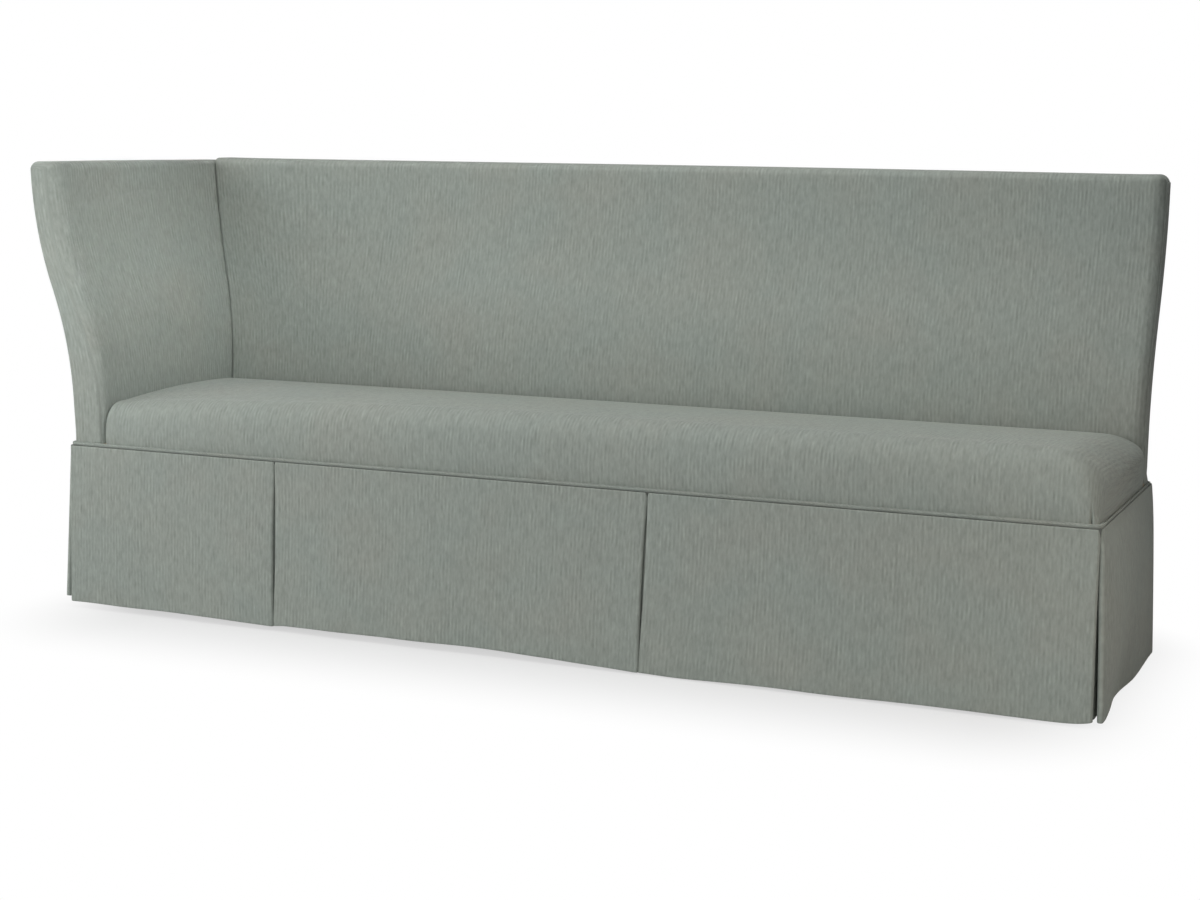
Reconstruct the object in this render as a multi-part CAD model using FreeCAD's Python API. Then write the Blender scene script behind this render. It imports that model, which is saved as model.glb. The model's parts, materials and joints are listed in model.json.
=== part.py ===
import FreeCAD, Part
import math
import os
from FreeCAD import Vector

# Upholstered banquette bench with one flared arm on its left and a kick-pleated skirt.
# Millimetres. +Z is up, -Y is the front, +X is the open end. The origin lies on the floor under
# the middle of the bounding box.

# Driving sizes of the outside
skirt_length = 2440.0          # over the skirt's top, arm end to open end
base_height = 396.0            # top of the base's rails above the floor
skirt_drop = 4.0               # skirt's top edge under the top of the rails
seat_depth = 535.0             # skirt's front plane to the face of the back, at the seat
overall_height = 1068.0        # top of the back and of the arm
back_thickness = 76.0          # face to face, at the seat
arm_thickness = 86.0           # face to face, at the seat
arm_top_thickness = 75.0       # face to face, at the top
back_flare = 112.0             # how far the back leans out at its top
arm_flare = 109.0              # how far the arm leans out at its top
flare_rise = 61.0              # both start to lean this far above the base's rails

# Fabric, card and cloth
cover_thickness = 2.0
cover_overhang = 6.0           # how far the covers reach down under the skirt's top edge
cover_inset = 9.0              # skirt's outer plane to the covers' outer plane
soft_gap = 0.3                 # clearance round every soft piece
wrap_width = 20.0              # inside covers turn this far round the arm's and back's edges
cloth_thickness = 1.0          # burlap and dust cover
webbing_thickness = 2.0
webbing_width = 60.0
seat_strap_pitch = 118.0
back_strap_pitch = 300.0

# Hardwood frame
plank = 32.0
rail_height = 150.0
cross_rail_height = 100.0
cross_rail_shares = (0.33, 0.67)
frame_rail_height = 50.0       # bottom rails of the arm frame and of the back frame
top_rail_height = 40.0
top_padding = 14.0             # foam over the top rails
front_padding = 12.0           # foam in front of the arm's post
end_padding = 14.0             # foam outside the back's end post
post_width = 42.0
back_post_shares = (0.34, 0.67)
block_leg = 112.0              # corner block, along each rail
block_nose = 18.0              # flat left at its sharp ends
block_height = 50.0
centre_block_length = 140.0

# Legs, glides and bolts
leg_top_width = 50.0
leg_foot_width = 40.0
leg_inset = 27.0               # outer face of a leg behind the outer face of the rails
glide_radius = 14.0
glide_height = 5.0
bolt_radius = 4.0
bolt_depth = 55.0              # grip in each of the two pieces that a bolt joins
bolt_head_radius = 7.5         # over the corners of the hexagon
bolt_head_height = 5.0
bolt_clearance = 0.1
back_bolt_shares = (0.08, 0.36, 0.64, 0.92)
arm_bolt_shares = (0.2, 0.75)

# Rounded edges of the arm and of the back
front_corner_radius = 24.0     # arm's top front corner, seen from the side
end_corner_radius = 22.0       # back's top corner at the open end, seen from the front
inner_edge_radius = 16.0
outer_edge_radius = 9.0

# Crowned seat
seat_rise = 112.0              # where the seat meets the back, above the base's rails
crown_rise = 34.0              # middle of the seat above that edge
front_roll_depth = 62.0        # front roll, front to back
front_roll_height = 44.0       # front roll, top to bottom
front_bulge_share = 0.055      # swell of the front face, of its height between welt and roll
crown_bulge = 9.0              # swell of the top between roll and back
crown_run = 1250.0             # from the arm to where the seat is at its full height
arm_dip = 9.0                  # beside the arm the crown sinks below the back edge
end_roll_length = 88.0         # open end's roll, along the seat
end_drop = 44.0                # the same roll, top to bottom
end_corner_length = 42.0       # soft upright corner at the open end, along the seat
end_corner_inset = 22.0        # the same corner, front to back
bulge_clearance = 12.0         # plain height above the skirt before the front swells

front_roll_share = 0.72        # how full the front roll is

# Stations along the seat, as shares of the run where the crown rises, then of the end roll from
# its inner end outwards
crown_station_shares = (0.0, 0.08, 0.18, 0.3, 0.44, 0.6, 0.78)
end_station_shares = (1.0, 0.78, 0.57, 0.39, 0.24, 0.13, 0.05, 0.01, 0.0)

# Levels of an ogee between its foot and its top, places round a folded edge, and how much of a
# fabric's rounded edge is taken off the foam under it, in a straight cut that touches the round
ogee_level_shares = (0.0, 0.25, 0.5, 0.75, 1.0)
fold_turn_shares = (-1.0, -0.5, 0.0, 0.5, 1.0)
foam_cut_share = 0.586

# Cuts and comparisons
cut_overrun = 1068.0           # cuts reach this far past the bench
same_place = 0.01              # two points closer than this are one

# Welt and skirt
welt_radius = 4.0
hem_height = 9.0
front_hem_flare = 8.0          # hem in front of the skirt's top, front and rear
side_hem_flare = 16.0          # the same at the two ends
lined_thickness = 3.0          # skirt fabric with its lining
fold_gap = 1.0                 # inside a folded edge
return_width = 72.0            # turned back behind each panel's edge
head_height = 16.0             # stitched heading that the skirt hangs from
pleat_shares = (0.2352, 0.61)  # front kick pleats
pleat_gap = 1.0                # between two panels at their top
pleat_opening = 5.0            # further, at each side of a pleat, at the hem
corner_opening = 4.0
corner_reach = 10.0            # side panels run this far past the corner at the hem
underlay_width = 150.0
underlay_rise = 5.0            # underlays end this far above the hem

# Sizes that follow
flare_start = base_height + flare_rise
seat_edge_height = base_height + seat_rise
skirt_height = base_height - skirt_drop
fold_radius = lined_thickness + fold_gap / 2
folded_depth = 2 * fold_radius
fold_top = skirt_height - head_height
skirt_depth = seat_depth + back_thickness + cover_inset
arm_inner_flare = arm_flare + arm_thickness - arm_top_thickness
arm_overhang = arm_flare - cover_inset
back_overhang = back_flare - cover_inset

# Outer planes of the skirt's top, with the bounding box centred over the origin
skirt_right = (skirt_length + arm_overhang - side_hem_flare) / 2
skirt_left = skirt_right - skirt_length
skirt_front = (front_hem_flare - back_overhang - skirt_depth) / 2
skirt_rear = skirt_front + skirt_depth

# Outer planes of the covers, and of the wood behind them
cover_left = skirt_left + cover_inset
cover_right = skirt_right - cover_inset
cover_front = skirt_front + cover_inset
cover_rear = skirt_rear - cover_inset
cover_bottom = skirt_height - cover_overhang
wood_left = cover_left + cover_thickness
wood_right = cover_right - cover_thickness
wood_front = cover_front + cover_thickness
wood_rear = cover_rear - cover_thickness
rail_bottom = base_height - rail_height
deck_top = base_height + webbing_thickness + cloth_thickness
frame_top = overall_height - cover_thickness - top_padding
back_face = skirt_front + seat_depth
arm_face = cover_left + arm_thickness

# Layers of the arm and of the back, as distances outside the skirt's planes
outer_skin = -cover_inset
outer_wood = outer_skin - cover_thickness - soft_gap
inner_wood = outer_wood - plank
arm_inner_skin = outer_skin - arm_thickness
arm_burlap_face = inner_wood - cloth_thickness
back_inner_skin = outer_skin - back_thickness
back_strap_face = inner_wood - webbing_thickness
back_burlap_face = back_strap_face - cloth_thickness
frame_left = skirt_left - inner_wood
frame_right = wood_right - end_padding
frame_rear = skirt_rear + inner_wood

# Ends of cuts, past the whole bench
far_out = cut_overrun
far_in = -skirt_depth - cut_overrun
far_left = skirt_left - cut_overrun
far_right = skirt_right + cut_overrun
far_front = skirt_front - cut_overrun
far_rear = skirt_rear + cut_overrun
quarter_turn = math.pi / 2


def box(low, high):
    """A block between two corners."""
    size = high - low
    return Part.makeBox(size.x, size.y, size.z, low)


def line(start, end):
    """A straight edge."""
    return Part.LineSegment(start, end).toShape()


def arc(start, middle, end):
    """A round edge through three points."""
    return Part.Arc(start, middle, end).toShape()


def slice_z(shape, low, high):
    """The part of a shape between two heights."""
    return shape.common(box(Vector(far_left, far_front, low), Vector(far_right, far_rear, high)))


def near(a, b):
    """Whether two places are one."""
    return abs(a - b) < same_place


def save(node, shape):
    """Write one piece, or one group of like pieces, under its own name."""
    shape.exportStep("parts/" + node + ".step")


# The ogee of the arm and of the back: plumb, leaning out through two arcs, plumb again at the top

def lean(flare, z):
    """How far the ogee stands out of plumb at a height."""
    rise = overall_height - flare_start
    radius = (rise ** 2 + flare ** 2) / (4 * flare)
    up = max(z - flare_start, 0)
    down = overall_height - z
    if up < down:
        return radius - math.sqrt(radius ** 2 - up ** 2)
    return flare - radius + math.sqrt(radius ** 2 - down ** 2)


def ogee(base, flare, place):
    """Edges up one ogee. place(u, z) puts a point that lies u outside the skirt's plane."""
    rise = overall_height - flare_start
    levels = [flare_start + rise * share for share in ogee_level_shares]
    points = [place(base + lean(flare, z), z) for z in levels]
    return [line(place(base, cover_bottom), points[0]), arc(*points[:3]), arc(*points[2:])]


def ogee_band(outer, outer_flare, inner, inner_flare, place, direction):
    """The solid between two ogees, pushed along one direction."""
    top = line(place(outer + outer_flare, overall_height), place(inner + inner_flare, overall_height))
    bottom = line(place(inner, cover_bottom), place(outer, cover_bottom))
    edges = ogee(outer, outer_flare, place) + [top] + ogee(inner, inner_flare, place) + [bottom]
    return Part.Face(Part.Wire(Part.sortEdges(edges)[0])).extrude(direction)


def arm_band(outer, inner, inner_flare, front, rear):
    """A layer of the arm between two distances outside the skirt's end plane."""
    def place(u, z):
        return Vector(skirt_left - u, front, z)
    return ogee_band(outer, arm_flare, inner, inner_flare, place, Vector(0, rear - front, 0))


def back_band(outer, inner, left, right):
    """A layer of the back between two distances outside the skirt's rear plane."""
    def place(u, z):
        return Vector(left, skirt_rear + u, z)
    return ogee_band(outer, back_flare, inner, back_flare, place, Vector(right - left, 0, 0))


def edges_at(shape, picks):
    """The edges whose middle point the test picks."""
    edges = []
    for edge in shape.Edges:
        if picks(edge.valueAt((edge.FirstParameter + edge.LastParameter) / 2)):
            edges.append(edge)
    return edges


def ease_edges(shape, radius, inset, picks):
    """Ease some edges: round at the skin, cut straight under it."""
    edges = edges_at(shape, picks)
    if inset > 0:
        return shape.makeChamfer((radius - inset) * foam_cut_share, edges)
    return shape.makeFillet(radius, edges)


def arm_form(inset):
    """The arm's outer form, drawn in by an inset on every side but its foot."""
    outer = outer_skin - inset
    inner = arm_inner_skin + inset
    front = cover_front + inset
    top = overall_height - inset
    block = box(Vector(far_left, front, cover_bottom), Vector(far_right, far_rear, top))
    corner = edges_at(block, lambda p: near(p.y, front) and near(p.z, top))
    block = block.makeFillet(front_corner_radius - inset, corner)
    body = arm_band(outer, inner, arm_inner_flare, front, far_rear)
    body = body.common(back_band(outer, far_in, far_left, far_right)).common(block)

    def open_edge(p):
        at_front = p.z > cover_bottom + same_place and p.y < front + front_corner_radius
        return at_front or near(p.z, top)

    def on_inner(p):
        return open_edge(p) and near(skirt_left - p.x, inner + lean(arm_inner_flare, p.z))

    def on_outer(p):
        return open_edge(p) and near(skirt_left - p.x, outer + lean(arm_flare, p.z))

    body = ease_edges(body, inner_edge_radius, inset, on_inner)
    return ease_edges(body, outer_edge_radius, inset, on_outer)


def back_form(inset):
    """The back's outer form up to the arm, drawn in by an inset on every side but its foot."""
    outer = outer_skin - inset
    inner = back_inner_skin + inset
    right = cover_right - inset
    top = overall_height - inset
    block = box(Vector(far_left, far_front, cover_bottom), Vector(right, far_rear, top))
    corner = edges_at(block, lambda p: near(p.x, right) and near(p.z, top))
    block = block.makeFillet(end_corner_radius - inset, corner)
    body = back_band(outer, inner, far_left, right).common(block)

    def open_edge(p):
        at_end = p.z > cover_bottom + same_place and p.x > right - end_corner_radius
        return at_end or near(p.z, top)

    def on_inner(p):
        return open_edge(p) and near(p.y - skirt_rear, inner + lean(back_flare, p.z))

    def on_outer(p):
        return open_edge(p) and near(p.y - skirt_rear, outer + lean(back_flare, p.z))

    body = ease_edges(body, inner_edge_radius, inset, on_inner)
    body = ease_edges(body, outer_edge_radius, inset, on_outer)
    return body.cut(arm_side(arm_inner_skin - soft_gap, arm_inner_flare))


def arm_side(inner, inner_flare):
    """All the space on the arm's side of an ogee."""
    return arm_band(far_out, inner, inner_flare, far_front, far_rear)


# Seat: a row of like side outlines, from the arm to the open end

def quarter_ellipse(distance, length):
    """Rises from 0 at an end to 1 where its roll is over."""
    share = min(max(distance / length, 0), 1)
    return math.sqrt(1 - (1 - share) ** 2)


def seat_outline(x, left, right, inset):
    """The seat seen from the side at one station."""
    rising = max(1 - (x - left) / crown_run, 0)
    roll = quarter_ellipse(right - x, end_roll_length)
    corner = quarter_ellipse(right - x, end_corner_length)
    front = cover_front + inset + end_corner_inset * (1 - corner)
    rear = back_face - soft_gap - inset
    edge = seat_edge_height - inset - end_drop * (1 - roll)
    top = edge + (crown_rise - (crown_rise + arm_dip) * rising ** 2) * roll
    plain = skirt_height + bulge_clearance
    roll_foot = top - front_roll_height
    roll_end = front + front_roll_depth
    swell = front - front_bulge_share * (roll_foot - plain)
    roll_y = roll_end - front_roll_depth * front_roll_share
    roll_z = roll_foot + front_roll_height * front_roll_share
    crown_z = (top + edge) / 2 + crown_bulge * (1 + roll) / 2
    points = [
        Vector(x, front, cover_bottom), Vector(x, front, plain), Vector(x, swell, (plain + roll_foot) / 2),
        Vector(x, front, roll_foot), Vector(x, roll_y, roll_z), Vector(x, roll_end, top),
        Vector(x, (roll_end + rear) / 2, crown_z), Vector(x, rear, edge), Vector(x, rear, cover_bottom),
    ]
    return Part.Wire([
        line(points[0], points[1]), arc(*points[1:4]), arc(*points[3:6]), arc(*points[5:8]),
        line(points[7], points[8]), line(points[8], points[0]),
    ])


def seat_form(inset):
    """The crowned seat, drawn in by an inset on every side but its foot."""
    left = arm_face + soft_gap + inset
    right = cover_right - inset
    places = [left + crown_run * share for share in crown_station_shares]
    places += [right - end_roll_length * share for share in end_station_shares]
    return Part.makeLoft([seat_outline(x, left, right, inset) for x in places], True, True)


# Hardwood base

def base_frame():
    """Rails of the base, butted at the corners, with two cross rails and a tack rail."""
    back_rail_front = wood_rear - plank
    cross_top = rail_bottom + cross_rail_height
    pieces = {
        "base_front_rail": box(Vector(wood_left, wood_front, rail_bottom),
                               Vector(wood_right, wood_front + plank, base_height)),
        "base_rear_rail": box(Vector(wood_left, back_rail_front, rail_bottom),
                              Vector(wood_right, wood_rear, base_height)),
        "base_left_rail": box(Vector(wood_left, wood_front + plank, rail_bottom),
                              Vector(wood_left + plank, back_rail_front, base_height)),
        "base_right_rail": box(Vector(wood_right - plank, wood_front + plank, rail_bottom),
                               Vector(wood_right, back_rail_front, base_height)),
        "seat_tack_rail": box(Vector(wood_left + plank, back_rail_front - plank, cross_top),
                              Vector(wood_right - plank, back_rail_front, base_height)),
    }
    for name, share in zip(("left", "right"), cross_rail_shares):
        middle = wood_left + (wood_right - wood_left) * share
        pieces["base_cross_rail_" + name] = box(
            Vector(middle - plank / 2, wood_front + plank, rail_bottom),
            Vector(middle + plank / 2, back_rail_front, cross_top))
    return pieces


def leg_places():
    """Middle of each leg, seen from above, by name."""
    offset = leg_inset + leg_top_width / 2
    centre = (wood_left + wood_right) / 2
    columns = {"left": wood_left + offset, "centre": centre, "right": wood_right - offset}
    rows = {"front": wood_front + offset, "rear": wood_rear - offset}
    return {row + "_" + column: Vector(x, y, 0)
            for row, y in rows.items() for column, x in columns.items()}


def prism(points, direction):
    """A straight-sided outline pushed along one direction."""
    return Part.Face(Part.makePolygon(points + points[:1])).extrude(direction)


def corner_block(corner, toward_x, toward_y):
    """A glue block in a corner, its two sharp ends cut flat."""
    outline = [(0, 0), (block_leg, 0), (block_leg, block_nose), (block_nose, block_leg), (0, block_leg)]
    points = [corner + Vector(toward_x * a, toward_y * b, 0) for a, b in outline]
    return prism(points, Vector(0, 0, block_height))


def bolt(top, grip):
    """A bolt with its hexagon head above the place where it goes in."""
    shank = Part.makeCylinder(bolt_radius, grip, top - Vector(0, 0, grip))
    corners = []
    for n in range(6):
        angle = math.pi * n / 3
        corners.append(top + Vector(bolt_head_radius * math.cos(angle), bolt_head_radius * math.sin(angle), 0))
    return shank.fuse(prism(corners, Vector(0, 0, bolt_head_height)))


def bolt_hole(top, grip):
    """The clearance hole for the same bolt."""
    return Part.makeCylinder(bolt_radius + bolt_clearance, grip + bolt_clearance,
                             top - Vector(0, 0, grip + bolt_clearance))


def leg(place):
    """A tapered block leg."""
    foot, top = leg_foot_width / 2, leg_top_width / 2
    block = Part.makeWedge(-foot, glide_height, -foot, -top, -top, foot, rail_bottom, foot, top, top)
    block.rotate(Vector(0, 0, 0), Vector(1, 0, 0), 90)
    block.translate(place)
    return block


def glide(place):
    """A plain disc under a leg."""
    return Part.makeCylinder(glide_radius, glide_height, place)


def base_parts():
    """The base with its glue blocks, legs, bolts and glides."""
    pieces = base_frame()
    inner_left, inner_right = wood_left + plank, wood_right - plank
    inner_front, inner_rear = wood_front + plank, wood_rear - plank
    blocks = [
        corner_block(Vector(inner_left, inner_front, rail_bottom), 1, 1),
        corner_block(Vector(inner_right, inner_front, rail_bottom), -1, 1),
        corner_block(Vector(inner_left, inner_rear, rail_bottom), 1, -1),
        corner_block(Vector(inner_right, inner_rear, rail_bottom), -1, -1),
    ]
    middle = (wood_left + wood_right) / 2
    half = centre_block_length / 2
    depth = leg_inset + leg_top_width + block_nose - plank
    centre_blocks = [
        box(Vector(middle - half, inner_front, rail_bottom),
            Vector(middle + half, inner_front + depth, rail_bottom + block_height)),
        box(Vector(middle - half, inner_rear - depth, rail_bottom),
            Vector(middle + half, inner_rear, rail_bottom + block_height)),
    ]
    bolts, glides = [], []
    grip = bolt_depth + block_height
    for name, place in leg_places().items():
        top = Vector(place.x, place.y, rail_bottom + block_height)
        hole = bolt_hole(top, grip)
        blocks = [block.cut(hole) for block in blocks]
        centre_blocks = [block.cut(hole) for block in centre_blocks]
        pieces["leg_" + name] = leg(place).cut(hole)
        bolts.append(bolt(top, grip))
        glides.append(glide(place))
    pieces["corner_blocks"] = Part.makeCompound(blocks)
    pieces["centre_blocks"] = Part.makeCompound(centre_blocks)
    pieces["leg_bolts"] = Part.makeCompound(bolts)
    pieces["leg_glides"] = Part.makeCompound(glides)
    return pieces


# Frames of the arm and of the back, between the ogees of their wood

def upright_parts(base):
    """Rails and posts over the base. Bolt holes also go into the base's rails."""
    pieces = {}
    post_front = wood_front + front_padding
    arm_wood = arm_band(outer_wood, inner_wood, arm_flare, post_front, far_rear)
    arm_wood = arm_wood.common(back_band(outer_wood, far_in, far_left, far_right))
    back_wood = back_band(outer_wood, inner_wood, far_left, frame_right)
    back_wood = back_wood.cut(arm_side(outer_wood, arm_flare))
    corner_post = slice_z(arm_wood.common(back_wood), base_height, frame_top)
    pieces["corner_post"] = corner_post
    arm_wood = arm_wood.cut(back_band(far_out, inner_wood, far_left, far_right))
    back_wood = back_wood.cut(arm_side(inner_wood, arm_flare))

    low, high = base_height + frame_rail_height, frame_top - top_rail_height
    pieces["arm_bottom_rail"] = slice_z(arm_wood, base_height, low)
    pieces["arm_top_rail"] = slice_z(arm_wood, high, frame_top)
    post = box(Vector(far_left, post_front, low), Vector(far_right, post_front + post_width, high))
    pieces["arm_front_post"] = arm_wood.common(post)
    pieces["back_bottom_rail"] = slice_z(back_wood, base_height, low)
    pieces["back_top_rail"] = slice_z(back_wood, high, frame_top)

    run = frame_right - wood_left
    places = [wood_left + run * share for share in back_post_shares] + [frame_right - post_width / 2]
    for name, middle in zip(("left", "middle", "right"), places):
        block = box(Vector(middle - post_width / 2, far_front, low),
                    Vector(middle + post_width / 2, far_rear, high))
        pieces["back_post_" + name] = back_wood.common(block)

    grip = frame_rail_height + bolt_depth
    back_line, arm_line = wood_rear - plank / 2, wood_left + plank / 2
    arm_run = wood_rear - plank - post_front
    back_tops = [Vector(wood_left + run * share, back_line, low) for share in back_bolt_shares]
    arm_tops = [Vector(arm_line, post_front + arm_run * share, low) for share in arm_bolt_shares]
    for top in back_tops:
        pieces["back_bottom_rail"] = pieces["back_bottom_rail"].cut(bolt_hole(top, grip))
        base["base_rear_rail"] = base["base_rear_rail"].cut(bolt_hole(top, grip))
    for top in arm_tops:
        pieces["arm_bottom_rail"] = pieces["arm_bottom_rail"].cut(bolt_hole(top, grip))
        base["base_left_rail"] = base["base_left_rail"].cut(bolt_hole(top, grip))
    pieces["back_frame_bolts"] = Part.makeCompound([bolt(top, grip) for top in back_tops])
    pieces["arm_frame_bolts"] = Part.makeCompound([bolt(top, grip) for top in arm_tops])
    return pieces


# Webbing and burlap

def straps(low, high, pitch):
    """Middles of evenly spaced straps between two ends."""
    count = max(int((high - low - webbing_width) / pitch), 1)
    step = (high - low - webbing_width) / count
    return [low + webbing_width / 2 + step * n for n in range(count + 1)]


def support_parts():
    """What the foam lies on, and the dust cover under the base."""
    pieces = {}
    half = webbing_width / 2
    front, rear = wood_front, frame_rear
    left, right = frame_left, wood_right
    seat = [box(Vector(x - half, front, base_height), Vector(x + half, rear, base_height + webbing_thickness))
            for x in straps(left, right, seat_strap_pitch)]
    pieces["seat_webbing"] = Part.makeCompound(seat)
    pieces["seat_burlap"] = box(Vector(left, front, base_height + webbing_thickness),
                                Vector(right, rear, deck_top))
    layer = back_band(inner_wood, back_strap_face, far_left, frame_right)
    layer = slice_z(layer, deck_top + soft_gap, frame_top)
    strips = []
    for x in straps(frame_left + back_strap_pitch / 2, frame_right, back_strap_pitch):
        strips.append(layer.common(box(Vector(x - half, far_front, cover_bottom),
                                       Vector(x + half, far_rear, overall_height))))
    pieces["back_webbing"] = Part.makeCompound(strips)
    cloth = back_band(back_strap_face, back_burlap_face, far_left, frame_right)
    cloth = cloth.cut(arm_side(inner_wood - soft_gap, arm_flare))
    pieces["back_burlap"] = slice_z(cloth, deck_top + soft_gap, frame_top)
    arm_cloth = arm_band(inner_wood, arm_burlap_face, arm_flare, wood_front + front_padding, far_rear)
    arm_cloth = arm_cloth.cut(back_band(far_out, back_burlap_face - soft_gap, far_left, far_right))
    pieces["arm_burlap"] = slice_z(arm_cloth, deck_top + soft_gap, frame_top)

    under = box(Vector(wood_left, wood_front, rail_bottom - cloth_thickness),
                Vector(wood_right, wood_rear, rail_bottom))
    clear = leg_top_width / 2 + soft_gap
    for place in leg_places().values():
        under = under.cut(box(Vector(place.x - clear, place.y - clear, 0),
                              Vector(place.x + clear, place.y + clear, base_height)))
    pieces["dust_cover"] = under
    return pieces


# Foam and covers

def soft_parts():
    """Foam and covers of the seat, the arm and the back."""
    pieces = {}
    pad = cover_thickness + soft_gap
    deck = box(Vector(wood_left, wood_front, 0), Vector(wood_right, wood_rear, deck_top + soft_gap))

    seat_outer, seat_inner = seat_form(0), seat_form(cover_thickness)
    pieces["seat_cover"] = seat_outer.cut(seat_inner).cut(deck)
    pieces["seat_foam"] = slice_z(seat_form(pad), deck_top, overall_height)

    rail_space = back_band(far_out, back_burlap_face - soft_gap, far_left, frame_right + soft_gap)
    rail_space = slice_z(rail_space, cover_bottom, frame_top + soft_gap)
    passage = rail_space.cut(arm_side(inner_wood - soft_gap, arm_flare))
    frame_space = arm_band(far_out, arm_burlap_face - soft_gap, arm_flare,
                           wood_front + front_padding - soft_gap, far_rear)
    frame_space = slice_z(frame_space, cover_bottom, frame_top + soft_gap)

    arm_outer, arm_inner = arm_form(0), arm_form(cover_thickness)
    arm_shell = arm_outer.cut(arm_inner).cut(passage).cut(deck)
    back_shell = back_form(0).cut(back_form(cover_thickness)).cut(deck)
    arm_pad = arm_form(pad).cut(frame_space).cut(passage)
    pieces["arm_foam"] = slice_z(arm_pad, deck_top + soft_gap, overall_height)
    back_pad = back_form(pad).cut(rail_space)
    pieces["back_foam"] = slice_z(back_pad, deck_top + soft_gap, overall_height)

    seam = overall_height - wrap_width
    edge = cover_thickness
    outside_arm = arm_band(far_out, outer_skin - edge, arm_flare, cover_front + wrap_width, far_rear)
    outside_arm = slice_z(outside_arm, 0, seam)
    outside_back = back_band(far_out, outer_skin - edge, far_left, cover_right - edge)
    outside_back = slice_z(outside_back, 0, seam).cut(outside_arm)
    end = box(Vector(cover_right - edge, far_front, 0), Vector(far_right, far_rear, seam))
    pieces["outside_arm_cover"] = arm_shell.common(outside_arm)
    panel = slice_z(back_band(outer_skin, outer_skin - edge, far_left, cover_right - edge), 0, seam)
    pieces["outside_back_cover"] = panel.cut(arm_side(outer_skin - edge, arm_flare))
    pieces["back_end_cover"] = back_shell.common(end)
    pieces["inside_arm_cover"] = arm_shell.cut(outside_arm).cut(outside_back)
    pieces["inside_back_cover"] = back_shell.cut(outside_back).cut(end)
    return pieces


# Skirt: s runs along a side, d runs in from its outer plane

sides = {
    "front": (lambda s, d, z: Vector(skirt_left + s, skirt_front + d, z), skirt_length, front_hem_flare),
    "rear": (lambda s, d, z: Vector(skirt_left + s, skirt_rear - d, z), skirt_length, front_hem_flare),
    "left": (lambda s, d, z: Vector(skirt_left + d, skirt_front + s, z), skirt_depth, side_hem_flare),
    "right": (lambda s, d, z: Vector(skirt_right - d, skirt_front + s, z), skirt_depth, side_hem_flare),
}


def fold(put, middle, sign):
    """Two quarter arcs round a folded edge, at the end that the sign faces."""
    points = []
    for share in fold_turn_shares:
        angle = quarter_turn * share * sign
        points.append(put(middle + sign * fold_radius * math.cos(angle),
                          fold_radius + fold_radius * math.sin(angle)))
    return [arc(*points[:3]), arc(*points[2:])]


def folded_outline(place, start, end, out, z):
    """A panel seen from above: its face, its two folded edges and the returns behind it."""
    def put(s, d):
        return place(s, d - out, z)

    back, lining = folded_depth, folded_depth - lined_thickness
    left, right = start + fold_radius, end - fold_radius
    left_return, right_return = start + return_width, end - return_width
    edges = [line(put(left, 0), put(right, 0))]
    edges += fold(put, right, 1)
    edges.append(line(put(right, back), put(right_return, back)))
    edges.append(line(put(right_return, back), put(right_return, lining)))
    edges.append(line(put(right_return, lining), put(right, lining)))
    edges.append(line(put(right, lining), put(right, lined_thickness)))
    edges.append(line(put(right, lined_thickness), put(left, lined_thickness)))
    edges.append(line(put(left, lined_thickness), put(left, lining)))
    edges.append(line(put(left, lining), put(left_return, lining)))
    edges.append(line(put(left_return, lining), put(left_return, back)))
    edges.append(line(put(left_return, back), put(left, back)))
    edges += fold(put, left, -1)
    return Part.Wire(edges)


def slab(put, s_low, s_high, d_low, d_high, z_low, z_high):
    """A plumb block along a side."""
    a, b = put(s_low, d_low, z_low), put(s_high, d_high, z_high)
    low = Vector(min(a.x, b.x), min(a.y, b.y), z_low)
    return box(low, Vector(max(a.x, b.x), max(a.y, b.y), z_high))


def skirt_panel(side, start, end, narrow_start, narrow_end):
    """A panel with its returns, plumb over the heading and flaring from there to its hem."""
    place, length, flare = sides[side]
    top = folded_outline(place, start, end, 0, fold_top)
    hem = folded_outline(place, start + narrow_start, end - narrow_end, flare, hem_height)
    hanging = Part.makeLoft([top, hem], True, True)
    return hanging.fuse(slab(place, start, end, 0, lined_thickness, fold_top, skirt_height))


def sloped(top_points, hem_points):
    """A flat piece with straight sides between two outlines."""
    wires = [Part.makePolygon(points + points[:1]) for points in (top_points, hem_points)]
    return Part.makeLoft(wires, True, True)


def pleat_underlay(side, middle):
    """The flat piece that closes a pleat from behind."""
    place, length, flare = sides[side]
    front = folded_depth + soft_gap
    half = underlay_width / 2
    corners = [(middle - half, front), (middle + half, front),
               (middle + half, front + lined_thickness), (middle - half, front + lined_thickness)]
    top = [place(s, d, fold_top) for s, d in corners]
    hem = [place(s, d - flare, hem_height + underlay_rise) for s, d in corners]
    return sloped(top, hem)


def corner_underlay(corner, toward_x, toward_y):
    """The same for a corner, with a wing behind each of the two panels."""
    face = folded_depth + soft_gap
    back = face + lined_thickness
    reach = face + underlay_width / 2
    outline = [(face, face), (reach, face), (reach, back), (back, back), (back, reach), (face, reach)]
    top, hem = [], []
    for a, b in outline:
        top.append(corner + Vector(toward_x * a, toward_y * b, fold_top))
        hem.append(corner + Vector(toward_x * (a - side_hem_flare), toward_y * (b - front_hem_flare),
                                   hem_height + underlay_rise))
    return sloped(top, hem)


def welt(side):
    """A piped cord along one side, mitred at its ends."""
    place, length, flare = sides[side]
    d = cover_inset - soft_gap - welt_radius
    z = skirt_height + soft_gap + welt_radius
    start, end = place(0, d, z), place(length, d, z)
    cord = Part.makeCylinder(welt_radius, length, start, end - start)
    reach = cover_inset
    outline = [(0, 0), (length, 0), (length - reach, reach), (reach, reach)]
    window = [place(s, d, z - welt_radius) for s, d in outline]
    return cord.common(prism(window, Vector(0, 0, 2 * welt_radius)))


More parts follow.
